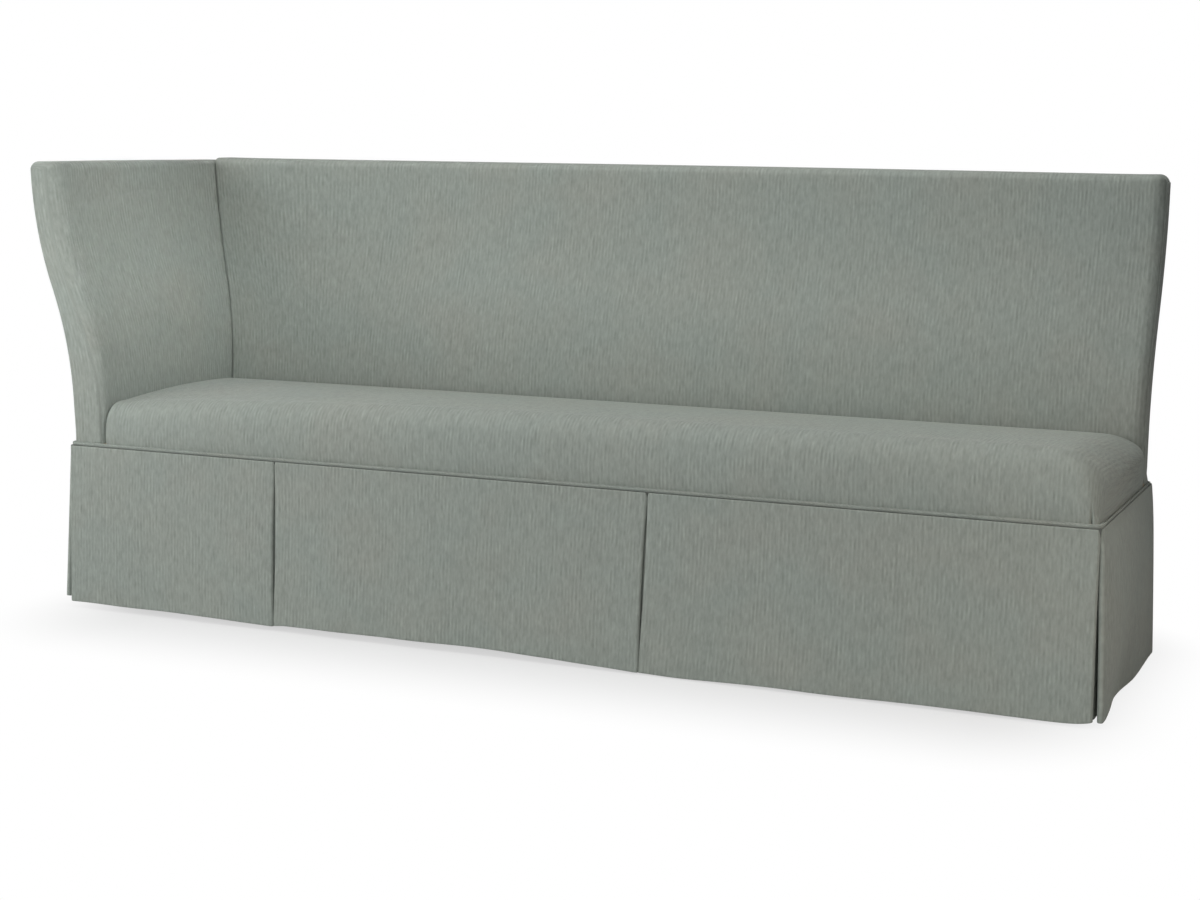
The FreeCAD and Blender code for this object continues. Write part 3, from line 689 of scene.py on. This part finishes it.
SIDES = {
    "front": (lambda s, d, z: (LEFT + s, FRONT + d, z), SKIRT_LENGTH, FRONT_FLARE),
    "rear": (lambda s, d, z: (RIGHT - s, REAR - d, z), SKIRT_LENGTH, FRONT_FLARE),
    "left": (lambda s, d, z: (LEFT + d, REAR - s, z), SKIRT_DEPTH, SIDE_FLARE),
    "right": (lambda s, d, z: (RIGHT - d, FRONT + s, z), SKIRT_DEPTH, SIDE_FLARE),
}
FOLD = 0.0035
FOLD_TOP = SKIRT_TOP - HEAD_HEIGHT
RETURN_TOP = FOLD_TOP - 0.001
HEM_LINE = ((0.0, 0.0050), (0.25, 0.0060), (0.50, 0.0025), (0.572, 0.0020), (0.60, 0.0050), (0.72, 0.0040),
            (0.87, 0.0070), (1.08, 0.0065), (1.28, 0.0040), (1.38, -0.0020), (1.48, -0.0055), (1.56, -0.0058),
            (1.80, -0.0036), (2.05, -0.0036), (2.30, -0.0030), (2.44, -0.0035))
SHOULDER = (0.003, 0.022)
PUFF = 0.017
WAVE = 0.0016
FACE_ROUGH = 0.0006
EDGE_LIP = 0.22
OTHER_HEM = 0.002
DROOP_REACH = 0.02
CORNER_TUCK = 0.0008
EDGE_ROLL = 0.004
EDGE_ROLL_WIDE = 0.018
LEFT_RAISE = (0.014, 0.06)


def corner_tuck(share):
    """The open end is drawn in toward its rear corner at the welt."""
    return CORNER_TUCK * smoothstep((share - 0.5) / 0.5)


def open_at(edge, t):
    """How far a panel's edge stands back: at its top, at its hem, and more in between."""
    top, hem, belly = edge
    return top + (hem - top) * t + belly * math.sin(math.pi * t ** 0.85)


def skirt_panel(name, side, start, end, narrow, seed, bowed=False, droop=0.0):
    """One lined panel with its two folded edges and its returns."""
    place, length, flare = SIDES[side]
    zs = steps(SKIRT_TOP - 0.0002, FOLD_TOP, 0.008) + steps(FOLD_TOP, HEM, 0.013)[1:]
    turn = [math.pi / 2 * n / 4 for n in range(-4, 5)]
    back = [(d, 2 * FOLD) for d in steps(RETURN_WIDTH, FOLD, 0.017)[:-1]]
    back += [(FOLD * (1 - math.cos(t)), FOLD + FOLD * math.sin(t)) for t in turn[::-1]]
    path = [("left", *p) for p in back] + [("face", s, 0.0) for s in steps(start + 0.012, end - 0.012, 0.014)]
    path += [("right", *p) for p in back[::-1]]
    width = end - start

    def spot(step, level):
        kind, along, depth = step
        behind = 0.0 if kind == "face" else smoothstep(depth / (2 * FOLD) * 1.6)
        top = zs[0] + (RETURN_TOP - zs[0]) * behind
        z = HEM + (level - HEM) * (top - HEM) / (zs[0] - HEM)
        t = max(FOLD_TOP - z, 0) / (FOLD_TOP - HEM)
        low, high = start + open_at(narrow[0], t), end - open_at(narrow[1], t)
        if kind == "left":
            s, away = low + along, start + along
        elif kind == "right":
            s, away = high - along, end - along
        else:
            s, away = low + (high - low) * ((along - start) / width), along
        waves = math.sin(away * 11.0 + seed * 2.3) + 0.6 * math.sin(away * 23.0 + seed * 5.1)
        out = flare * t + WAVE * t ** 1.4 * waves
        if bowed:
            share = away / length
            out -= corner_tuck(share) * (1 - smoothstep(t / 0.25))
            out -= EDGE_ROLL * bell(away - SIDE_START, EDGE_ROLL_WIDE) * smoothstep(t / 0.35)
            out += side_bow(share) * t ** 1.6 - SHOULDER[0] * math.exp((z - SKIRT_TOP) / SHOULDER[1])
            puff = math.sin(math.pi * min(max(share, 0), 1) ** 0.6)
            out += PUFF * puff * math.sin(math.pi * t ** 0.7)
        if kind == "face":
            out += FACE_ROUGH * noise.noise((away * 14.0, z * 9.0, seed * 3.1))
        corner = math.exp(-max(end - away, 0) / DROOP_REACH) * droop
        rise = 0.0009 * math.sin(away * 17.0 + seed) + 0.0007 * noise.noise((away * 9.0, seed, 0.0))
        line = np.interp(away, *zip(*HEM_LINE)) if side == "front" else OTHER_HEM
        if side == "left":
            line += LEFT_RAISE[0] * math.exp(-max(end - away, 0) / LEFT_RAISE[1])
        point = place(s, depth - out, z + t ** 2 * line + t ** 3 * (rise + corner))
        return point, (away + (depth if kind != "face" else 0), z, 10.0 + seed)

    obj = laid_cloth(name, path, zs, spot, CLOTH, lip=EDGE_LIP)
    return subdivide(obj), (width + 2 * RETURN_WIDTH, SKIRT_TOP - HEM)


PLEAT_GAP = 0.001
CORNER_LEFT = (0.007, 0.003, 0.0)
CORNER_RIGHT = (0.006, 0.004, 0.001)
PLEAT_EDGES = (((0.0010, 0.0060, 0.0040), (0.0015, -0.0045, 0.0040)),
               ((-0.0025, 0.0110, 0.0035), (0.0060, -0.0100, 0.0035)))
CORNER_REACH = ((0.0, -0.010, 0.0),) * 2
RIGHT_DROOP = 0.006
SIDE_START = 2 * FOLD + PLEAT_GAP


def side_bow(share):
    """The open end's panel kicks out at its front edge, hangs in behind it and comes out again."""
    kick = 0.004 * bell(share, 0.05) - 0.013 * bell(share - 0.34, 0.22)
    return kick - 0.005 * rising(share, 0.6, 0.4)


def make_skirt():
    pleats = [SKIRT_LENGTH * share for share in PLEATS]
    starts = [0.0] + [p + PLEAT_GAP / 2 for p in pleats]
    ends = [p - PLEAT_GAP / 2 for p in pleats] + [SKIRT_LENGTH]
    (a, b), (c, d) = PLEAT_EDGES
    opens = ((CORNER_LEFT, a), (b, c), (d, CORNER_RIGHT))
    made = []
    for n, (name, droop) in enumerate((("left", 0.0), ("middle", 0.0), ("right", RIGHT_DROOP))):
        made.append(("skirt_front_" + name, skirt_panel(
            "front_panel_" + name, "front", starts[n], ends[n], opens[n], n + 1, droop=droop)))
    made.append(("skirt_rear", skirt_panel(
        "rear_panel", "rear", 0, SKIRT_LENGTH, (CORNER_RIGHT, CORNER_RIGHT), 4)))
    for n, side in ((5, "left"), (6, "right")):
        made.append(("skirt_" + side, skirt_panel(
            side + "_panel", side, SIDE_START, SKIRT_DEPTH - SIDE_START, CORNER_REACH, n, side == "right")))
    return made


UNDERLAY = 0.150
UNDERLAY_CLOTH = CLOTH * 0.9
UNDERLAY_FACE = 2 * FOLD + 0.0004
UNDERLAY_SHORT = 0.005
UNDERLAY_BEND = 0.006
HANG = 0.25


def make_underlays():
    zs = steps(FOLD_TOP, HEM + UNDERLAY_SHORT, 0.03)
    face, half, bend = UNDERLAY_FACE, UNDERLAY / 2, UNDERLAY_BEND
    made = []

    def hang(z):
        return HANG * (FOLD_TOP - z) / (FOLD_TOP - HEM)

    for n, share in enumerate(PLEATS):
        place, _, flare = SIDES["front"]
        middle = SKIRT_LENGTH * share

        def behind_pleat(s, z):
            return place(s, face - hang(z) * flare, z), (s, z, 20.0 + n)

        across = steps(middle - half, middle + half, 0.01)
        made.append(laid_cloth("pleat_underlay_" + str(n + 1), across, zs, behind_pleat, UNDERLAY_CLOTH))
    path = [(a, face) for a in steps(face + half, face + bend, 0.012)]
    path += [(face + bend * (1 - math.sin(t)), face + bend * (1 - math.cos(t)))
             for t in [math.pi / 2 * k / 4 for k in range(1, 4)]]
    path += [(face, b) for b in steps(face + bend, face + half, 0.012)]
    corners = (("front_left", LEFT, FRONT, 1, 1), ("front_right", RIGHT, FRONT, -1, 1),
               ("rear_left", LEFT, REAR, 1, -1), ("rear_right", RIGHT, REAR, -1, -1))
    for n, (name, x, y, tx, ty) in enumerate(corners):
        def behind_corner(step, z):
            a, b = step
            point = (x + tx * (a - hang(z) * SIDE_FLARE), y + ty * (b - hang(z) * FRONT_FLARE), z)
            return point, (a + b, z, 24.0 + n)

        name = "corner_underlay_" + name
        made.append(laid_cloth(name, path, zs, behind_corner, UNDERLAY_CLOTH, turned=tx * ty > 0))
    return made


# Welt: a piped cord on top of the skirt, carried round the corners

WELT_CORNER = 0.014
WELT_FALL = 0.4
WELT_AROUND = 16


def make_welt():
    inset = COVER_INSET - 0.0003 - WELT_RADIUS
    low = Vector((LEFT + inset, FRONT + inset, 0))
    high = Vector((RIGHT - inset, REAR - inset, 0))
    z = SKIRT_TOP + 0.0001 + WELT_RADIUS
    path = []
    corners = ((low.x, high.y, 90), (low.x, low.y, 180), (high.x, low.y, -90), (high.x, high.y, 0))
    for cx, cy, first in corners:
        sx, sy = (1 if cx == high.x else -1), (1 if cy == high.y else -1)
        centre = Vector((cx - sx * WELT_CORNER, cy - sy * WELT_CORNER, z))
        for k in range(6):
            angle = math.radians(first + 18 * k)
            path.append(centre + Vector((math.cos(angle), math.sin(angle), 0)) * WELT_CORNER)
    line = []
    for a, b in zip(path, path[1:] + path[:1]):
        count = max(int((b - a).length / 0.010), 1)
        line += [a.lerp(b, n / count) for n in range(count)]
    for p in line:
        inward = corner_tuck((p.y - FRONT) / SKIRT_DEPTH) * 1.25
        p.x -= inward * rising(p.x, RIGHT - 0.06, 0.05)
    points, weave, faces, run = [], [], [], 0.0
    for n, p in enumerate(line):
        before, after = line[n - 1], line[(n + 1) % len(line)]
        way = (after - before).normalized()
        side = way.cross(Vector((0, 0, 1)))
        wobble = 1 + 0.05 * noise.noise((run * 22.0, 0.3, 1.7))
        beside = rising(p.x, RIGHT - 0.04, 0.03) * rising(p.y, FRONT + 0.03, 0.04)
        radius = WELT_RADIUS * (1 - WELT_FALL * beside)
        for k in range(WELT_AROUND):
            angle = math.tau * k / WELT_AROUND
            flat = [math.copysign(abs(v) ** 0.5, v) for v in (math.cos(angle), math.sin(angle))]
            away = side * flat[0] + Vector((0, 0, 1)) * flat[1]
            points.append(p + Vector((0, 0, radius - WELT_RADIUS)) + away * radius * wobble)
            weave.append((run + k * 0.0026, run - k * 0.0026, 30.0))
        run += (after - p).length
    for n in range(len(line)):
        here, there = n * WELT_AROUND, (n + 1) % len(line) * WELT_AROUND
        for k in range(WELT_AROUND):
            k2 = (k + 1) % WELT_AROUND
            faces.append((here + k, here + k2, there + k2, there + k))
    obj = make_object("welt", points, faces, weave)
    outward(obj)
    return obj


# Materials

def new_material(name):
    material = bpy.data.materials.new(name)
    material.use_nodes = True
    tree = material.node_tree
    tree.nodes.clear()
    shader = tree.nodes.new("ShaderNodeBsdfPrincipled")
    output = tree.nodes.new("ShaderNodeOutputMaterial")
    tree.links.new(shader.outputs["BSDF"], output.inputs["Surface"])
    return material, tree, shader


def add_node(tree, kind, inputs, **settings):
    """A node with its settings. An input is set, or linked where it is another node's output."""
    node = tree.nodes.new(kind)
    for name, value in settings.items():
        setattr(node, name, value)
    for key, value in inputs:
        if isinstance(value, bpy.types.NodeSocket):
            tree.links.new(value, node.inputs[key])
        else:
            node.inputs[key].default_value = value
    return node


def math_node(tree, kind, *values):
    return add_node(tree, "ShaderNodeMath", enumerate(values), operation=kind).outputs[0]


def noise_node(tree, vector, scale, detail=2.0, rough=0.5):
    inputs = (("Vector", vector), ("Scale", scale), ("Detail", detail), ("Roughness", rough))
    return add_node(tree, "ShaderNodeTexNoise", inputs).outputs["Fac"]


def vector_node(tree, *values):
    return add_node(tree, "ShaderNodeCombineXYZ", enumerate(values)).outputs[0]


def spread_node(tree, value, low, high, to_low, to_high, way="LINEAR"):
    inputs = (("Value", value), ("From Min", low), ("From Max", high),
              ("To Min", to_low), ("To Max", to_high))
    return add_node(tree, "ShaderNodeMapRange", inputs, interpolation_type=way).outputs["Result"]


def mix_node(tree, share, a, b):
    node = add_node(tree, "ShaderNodeMix", (("Factor", share),), data_type="RGBA")
    sockets = [socket for socket in node.inputs if socket.type == "RGBA"]
    for socket, value in zip(sockets, (a, b)):
        if isinstance(value, tuple):
            socket.default_value = (*value, 1.0)
        else:
            tree.links.new(value, socket)
    return [socket for socket in node.outputs if socket.type == "RGBA"][0]


def brighten(tree, colour, factor):
    """The colour times a factor that varies over the surface."""
    inputs = ((0, colour), ("Scale", factor))
    return add_node(tree, "ShaderNodeVectorMath", inputs, operation="SCALE").outputs[0]


def bump_node(tree, shader, height, distance, strength=1.0):
    inputs = (("Strength", strength), ("Distance", distance), ("Height", height))
    node = add_node(tree, "ShaderNodeBump", inputs)
    tree.links.new(node.outputs["Normal"], shader.inputs["Normal"])


def set_inputs(shader, *pairs):
    for name, value in pairs:
        shader.inputs[name].default_value = value


SAGE = (0.254, 0.278, 0.249)
SAGE_COOL = (0.249, 0.278, 0.251)
TAUPE = (0.265, 0.278, 0.247)
RIB = 0.0088
CORD = 0.0022
YARN = 0.0026


def fabric_material():
    """Ribbed chenille: upright ribs that come and go, slubs, finer cords, faint warm patches, sheen."""
    material, tree, shader = new_material("sage_chenille")
    source = tree.nodes.new("ShaderNodeAttribute")
    source.attribute_name = "weave"
    split = tree.nodes.new("ShaderNodeSeparateXYZ")
    tree.links.new(source.outputs["Vector"], split.inputs[0])
    across, along, seed = split.outputs

    def field(per_across, per_along, shift=0.0, detail=2.0, rough=0.5):
        place = vector_node(tree, math_node(tree, "MULTIPLY", across, per_across),
                            math_node(tree, "MULTIPLY", along, per_along),
                            math_node(tree, "ADD", seed, shift))
        return noise_node(tree, place, 1.0, detail, rough)

    wander = math_node(tree, "MULTIPLY_ADD", field(16.0, 5.0), 0.005, across)
    rib = math_node(tree, "SINE", math_node(tree, "MULTIPLY", wander, math.tau / RIB))
    column = math_node(tree, "FLOOR", math_node(tree, "DIVIDE", wander, RIB / 2))
    thread = noise_node(tree, vector_node(tree, math_node(tree, "MULTIPLY", column, 7.31),
                                          math_node(tree, "MULTIPLY", along, 27.0),
                                          math_node(tree, "ADD", seed, 5.0)), 1.0, 2.0, 0.6)
    strength = spread_node(tree, field(22.0, 15.0, 7.0, 1.0), 0.34, 0.62, 0.15, 1.0)
    ribs = math_node(tree, "MULTIPLY", rib, strength)
    slub = field(170.0, 48.0, 3.0, 1.0)
    fleck = field(330.0, 120.0, 13.0, 1.0)
    cord = math_node(tree, "SINE", math_node(tree, "MULTIPLY", wander, math.tau / CORD))
    pick = math_node(tree, "SINE", math_node(tree, "MULTIPLY", along, math.tau / YARN))
    patch = field(3.2, 4.2, 21.0, 3.0, 0.55)
    cool = field(5.0, 6.0, 40.0)
    ground = mix_node(tree, spread_node(tree, cool, 0.38, 0.62, 0.0, 1.0), SAGE, SAGE_COOL)
    ground = mix_node(tree, spread_node(tree, patch, 0.48, 0.70, 0.0, 0.6), ground, TAUPE)
    light = math_node(tree, "MULTIPLY_ADD", ribs, 0.066, 1.0)
    for layer, share in ((thread, 0.50), (slub, 0.34), (fleck, 0.14)):
        light = math_node(tree, "MULTIPLY_ADD", math_node(tree, "SUBTRACT", layer, 0.5), share, light)
    light = math_node(tree, "MULTIPLY_ADD", cord, 0.03, light)
    tree.links.new(brighten(tree, ground, light), shader.inputs["Base Color"])
    height = math_node(tree, "MULTIPLY_ADD", ribs, 0.35, slub)
    for layer, share in ((fleck, 0.25), (cord, 0.22), (pick, 0.10)):
        height = math_node(tree, "MULTIPLY_ADD", layer, share, height)
    bump_node(tree, shader, height, 0.0008, 0.8)
    set_inputs(shader, ("Roughness", 0.9), ("Specular IOR Level", 0.22), ("Sheen Weight", 0.22),
               ("Sheen Roughness", 0.45), ("Sheen Tint", (0.82, 0.86, 0.80, 1.0)))
    return material


def object_point(tree):
    return tree.nodes.new("ShaderNodeTexCoord").outputs["Object"]


def scaled_point(tree, scale):
    inputs = ((0, object_point(tree)), (1, scale))
    return add_node(tree, "ShaderNodeVectorMath", inputs, operation="MULTIPLY").outputs[0]


def wood_material(name, light, dark, stretch, rough):
    material, tree, shader = new_material(name)
    long_grain = noise_node(tree, scaled_point(tree, stretch), 1.0, 5.0, 0.6)
    rings = noise_node(tree, scaled_point(tree, tuple(v * 0.3 for v in stretch)), 1.0, 2.0)
    bands = math_node(tree, "SINE", math_node(tree, "MULTIPLY", rings, 60.0))
    share = math_node(tree, "MULTIPLY_ADD", bands, 0.16, long_grain)
    tree.links.new(mix_node(tree, spread_node(tree, share, 0.3, 0.75, 0.0, 1.0), dark, light),
                   shader.inputs["Base Color"])
    bump_node(tree, shader, long_grain, 0.0005, 0.5)
    shader.inputs["Roughness"].default_value = rough
    return material


def woven_material(name, colour, other, pitch):
    """Plain open cloth: burlap, webbing, cambric and the skirt's heading."""
    material, tree, shader = new_material(name)
    split = tree.nodes.new("ShaderNodeSeparateXYZ")
    tree.links.new(object_point(tree), split.inputs[0])
    turns = [math_node(tree, "MULTIPLY", axis, math.tau / pitch) for axis in split.outputs]
    waves = [math_node(tree, "SINE", turn) for turn in turns]
    over = math_node(tree, "MULTIPLY", waves[0], math_node(tree, "ADD", waves[1], waves[2]))
    rough = noise_node(tree, object_point(tree), 240.0, 2.0)
    share = math_node(tree, "MULTIPLY_ADD", over, 0.25, rough)
    tree.links.new(mix_node(tree, spread_node(tree, share, 0.2, 0.85, 0.0, 1.0), other, colour),
                   shader.inputs["Base Color"])
    bump_node(tree, shader, share, 0.0005, 0.7)
    shader.inputs["Roughness"].default_value = 0.92
    return material


def plain_material(name, colour, other, rough, metal=0.0, scale=60.0):
    material, tree, shader = new_material(name)
    share = noise_node(tree, object_point(tree), scale, 3.0)
    tree.links.new(mix_node(tree, share, colour, other), shader.inputs["Base Color"])
    bump_node(tree, shader, noise_node(tree, object_point(tree), scale * 9, 2.0), 0.0001, 0.4)
    set_inputs(shader, ("Roughness", rough), ("Metallic", metal))
    return material


def set_material(obj, material):
    obj.data.materials.clear()
    obj.data.materials.append(material)


# Putting the bench together

fabric = fabric_material()


def keep(obj, *nodes):
    set_material(obj, fabric)
    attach(obj, ROOT)
    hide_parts(*nodes)


# Heights and reaches within which each pad is held by its tacks
BACK_HELD_TO = 0.47
ARM_HELD_TO = 0.40
HELD_EDGE = 0.006
HELD_SIDE = 0.003


def make_pads():
    back = make_back()

    def back_held(p):
        outer = REAR + BACK_OUT + lean(BACK_FLARE, p.z)
        end = END_X + end_shift(END_X, p.z)
        far_in = outer - BACK_THICKNESS + END_SOFT * 0.6
        under_panel = p.x > end - HELD_SIDE or (p.x > end - 0.02 and p.y > far_in)
        by_arm = p.x < arm_inner_x(p.z) + HELD_SIDE
        return p.z < BACK_HELD_TO or p.y > outer - HELD_EDGE or by_arm or under_panel

    swell(back, back_held, pressure=1.2, cap=0.005)
    keep(back, "inside_back_cover", "back_foam")
    arm = make_arm()

    def arm_held(p):
        return p.z < ARM_HELD_TO or p.x < arm_outer_x(p.z) + HELD_EDGE or p.y > REAR_Y - 0.06

    swell(arm, arm_held, pressure=0.8, cap=0.002)
    keep(arm, "inside_arm_cover", "arm_foam")
    seat = make_seat()

    def seat_held(p):
        return p.z < PLAIN - 0.008 or p.y > SEAT_REAR - 0.004 or p.x < SEAT_LEFT + 0.0005

    swell(seat, seat_held, pressure=1.4, cap=0.0026)
    keep(seat, "seat_cover", "seat_foam")
    outside_back, outside_arm, back_end = outside_panels()
    keep(outside_back, "outside_back_cover")
    keep(outside_arm, "outside_arm_cover")
    keep(back_end, "back_end_cover")


make_pads()
for node, (panel, flat) in make_skirt():
    keep(panel, node)
for n, piece in enumerate(make_underlays()):
    keep(piece, "pleat_underlays" if n < 2 else "corner_underlays")
keep(make_welt(), "welt_front", "welt_rear", "welt_left", "welt_right")

wood_along_x = wood_material("hardwood_x", (0.60, 0.43, 0.27), (0.44, 0.29, 0.17), (4.0, 70.0, 70.0), 0.62)
wood_along_y = wood_material("hardwood_y", (0.60, 0.43, 0.27), (0.44, 0.29, 0.17), (70.0, 4.0, 70.0), 0.62)
wood_along_z = wood_material("hardwood_z", (0.58, 0.42, 0.26), (0.43, 0.28, 0.16), (70.0, 70.0, 4.0), 0.62)
leg_wood = wood_material("stained_leg", (0.16, 0.095, 0.06), (0.07, 0.04, 0.028), (80.0, 80.0, 6.0), 0.42)
webbing = woven_material("jute_webbing", (0.56, 0.44, 0.28), (0.36, 0.26, 0.15), 0.0024)
burlap = woven_material("burlap", (0.52, 0.40, 0.25), (0.30, 0.21, 0.12), 0.0017)
cambric = woven_material("cambric", (0.040, 0.040, 0.042), (0.018, 0.018, 0.020), 0.0008)
# The heading is real cloth, but its colour is set darker than the cover's as painted shade, so that where it
# shows between the skirt panels it reads as a dark line.
heading = woven_material("heading_cloth_painted_shade", (0.150, 0.165, 0.148), (0.105, 0.115, 0.104), 0.0011)
steel = plain_material("zinc_steel", (0.60, 0.61, 0.64), (0.46, 0.47, 0.50), 0.38, 1.0, 90.0)
nylon = plain_material("nylon", (0.030, 0.030, 0.032), (0.016, 0.016, 0.018), 0.5, 0.0, 120.0)

FINISHES = {
    "leg_bolts": steel, "back_frame_bolts": steel, "arm_frame_bolts": steel, "leg_glides": nylon,
    "seat_webbing": webbing, "back_webbing": webbing, "seat_burlap": burlap, "back_burlap": burlap,
    "arm_burlap": burlap, "dust_cover": cambric,
}
for name, node in frame["nodes"].items():
    low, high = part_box(name)
    size = high - low
    if name in FINISHES:
        finish = FINISHES[name]
    elif name.startswith("skirt_head"):
        finish = heading
    elif name.startswith("leg_"):
        finish = leg_wood
    elif size.x > max(size.y, size.z):
        finish = wood_along_x
    else:
        finish = wood_along_y if size.y > size.z else wood_along_z
    set_material(node, finish)


# Floor, light and camera

WHITE = (1.0, 1.0, 1.0, 1.0)
FLOOR_GREY = (0.60, 0.60, 0.60, 1.0)
FLOOR_SIZE = 14.0
FLOOR_SHADE = 0.40
SHADE_REACH = 0.42
SHADE_INSET = 0.24


def white_rays(tree):
    """1 for the rays that show the surroundings: the camera's, and those reflected or let through."""
    rays = tree.nodes.new("ShaderNodeLightPath").outputs
    bounced = math_node(tree, "MAXIMUM", rays["Is Glossy Ray"], rays["Is Transmission Ray"])
    return math_node(tree, "MAXIMUM", rays["Is Camera Ray"], bounced)


def mixed_shader(tree, share, first, second):
    return add_node(tree, "ShaderNodeMixShader", (("Fac", share), (1, first), (2, second))).outputs["Shader"]


def make_floor():
    edge = FLOOR_SIZE
    corners = [(-edge, -edge, 0), (edge, -edge, 0), (edge, edge, 0), (-edge, edge, 0)]
    floor = make_object("floor", corners, [(0, 1, 2, 3)])
    material, tree, shader = new_material("pale_floor")
    set_inputs(shader, ("Base Color", FLOOR_GREY), ("Roughness", 0.9), ("Specular IOR Level", 0.1))
    # Close to the bench more of the grey lit floor shows. It carries the real shadow, and also paints a halo
    # of shade round the footprint where no shadow falls. Further out the floor is plain white to the camera.
    centre = ((LEFT + RIGHT) / 2, (FRONT + REAR) / 2, 0.0)
    half = ((RIGHT - LEFT) / 2 - SHADE_INSET, (REAR - FRONT) / 2, 1.0)
    away = object_point(tree)
    steps_out = (("SUBTRACT", centre), ("ABSOLUTE", None), ("SUBTRACT", half),
                 ("MAXIMUM", (0, 0, 0)), ("LENGTH", None))
    for kind, by in steps_out:
        inputs = [(0, away)] + ([(1, by)] if by else [])
        node = add_node(tree, "ShaderNodeVectorMath", inputs, operation=kind)
        away = node.outputs["Value" if kind == "LENGTH" else "Vector"]
    far = spread_node(tree, away, 0.0, SHADE_REACH, 1 - FLOOR_SHADE, 1.0, "SMOOTHSTEP")
    share = math_node(tree, "MULTIPLY", far, white_rays(tree))
    white = add_node(tree, "ShaderNodeEmission", ()).outputs["Emission"]
    output = [n for n in tree.nodes if n.type == "OUTPUT_MATERIAL"][0]
    tree.links.new(mixed_shader(tree, share, shader.outputs["BSDF"], white), output.inputs["Surface"])
    set_material(floor, material)
    floor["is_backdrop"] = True


def make_world(ambient):
    world = bpy.data.worlds.new("studio")
    world.use_nodes = True
    tree = world.node_tree
    tree.nodes.clear()
    soft, seen = (add_node(tree, "ShaderNodeBackground", (("Color", WHITE), ("Strength", strength)))
                  for strength in (ambient, 1.0))
    mixed = mixed_shader(tree, white_rays(tree), soft.outputs["Background"], seen.outputs["Background"])
    add_node(tree, "ShaderNodeOutputWorld", (("Surface", mixed),))
    bpy.context.scene.world = world


def softbox(name, place, aim, size, power, spread_angle=180.0, colour=(1.0, 1.0, 1.0)):
    light = bpy.data.lights.new(name, "AREA")
    light.shape = "RECTANGLE"
    light.size, light.size_y = size
    light.energy = power
    light.spread = math.radians(spread_angle)
    light.color = colour
    obj = bpy.data.objects.new(name, light)
    obj.location = place
    obj.rotation_euler = (Vector(aim) - Vector(place)).to_track_quat("-Z", "Y").to_euler()
    bpy.context.scene.collection.objects.link(obj)


# The camera that took the photograph, solved from its edges
CAMERA_PLACE = (1.9224, -4.2167, 1.10135)
CAMERA_ANGLES = (22.635, 7.99, 0.72)
CAMERA_LENS = 60.59
CAMERA_SHIFT = (-0.0396, -0.0128)


def make_camera():
    camera = bpy.data.cameras.new("camera")
    camera.lens = CAMERA_LENS
    camera.sensor_width = 36.0
    camera.sensor_fit = "HORIZONTAL"
    camera.shift_x, camera.shift_y = CAMERA_SHIFT
    obj = bpy.data.objects.new("camera", camera)
    turn, down, roll = (math.radians(angle) for angle in CAMERA_ANGLES)
    look = Euler((math.pi / 2 - down, 0, turn), "XYZ").to_matrix() @ Matrix.Rotation(roll, 3, "Z")
    obj.matrix_world = Matrix.Translation(CAMERA_PLACE) @ look.to_4x4()
    bpy.context.scene.collection.objects.link(obj)
    bpy.context.scene.camera = obj


make_floor()
make_world(0.10)
softbox("overhead", (0.3, -0.5, 3.2), (0.1, -0.3, 0.3), (3.0, 2.2), 54.5)
softbox("front", (-0.4, -5.0, 1.5), (0.0, -0.1, 0.5), (3.5, 2.4), 78)
softbox("front_left", (-3.2, -3.8, 1.5), (0.0, -0.1, 0.5), (3.0, 2.4), 63)
softbox("left", (-4.0, -1.5, 2.0), (0.0, -0.1, 0.5), (2.4, 2.4), 55)
softbox("side", (2.2, -1.0, 0.85), (1.27, -0.33, 0.30), (0.4, 0.4), 0.77, 60.0, (1.0, 0.88, 0.80))
softbox("arm", (2.3, -0.7, 2.0), (-1.20, -0.12, 0.82), (0.5, 0.5), 1.0, 22.0)
softbox("arm_front", (-0.9, -2.6, 1.4), (-1.26, -0.35, 0.80), (0.5, 0.5), 0.31, 24.0)
make_camera()
bpy.context.scene.view_settings.view_transform = "Standard"

low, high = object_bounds()
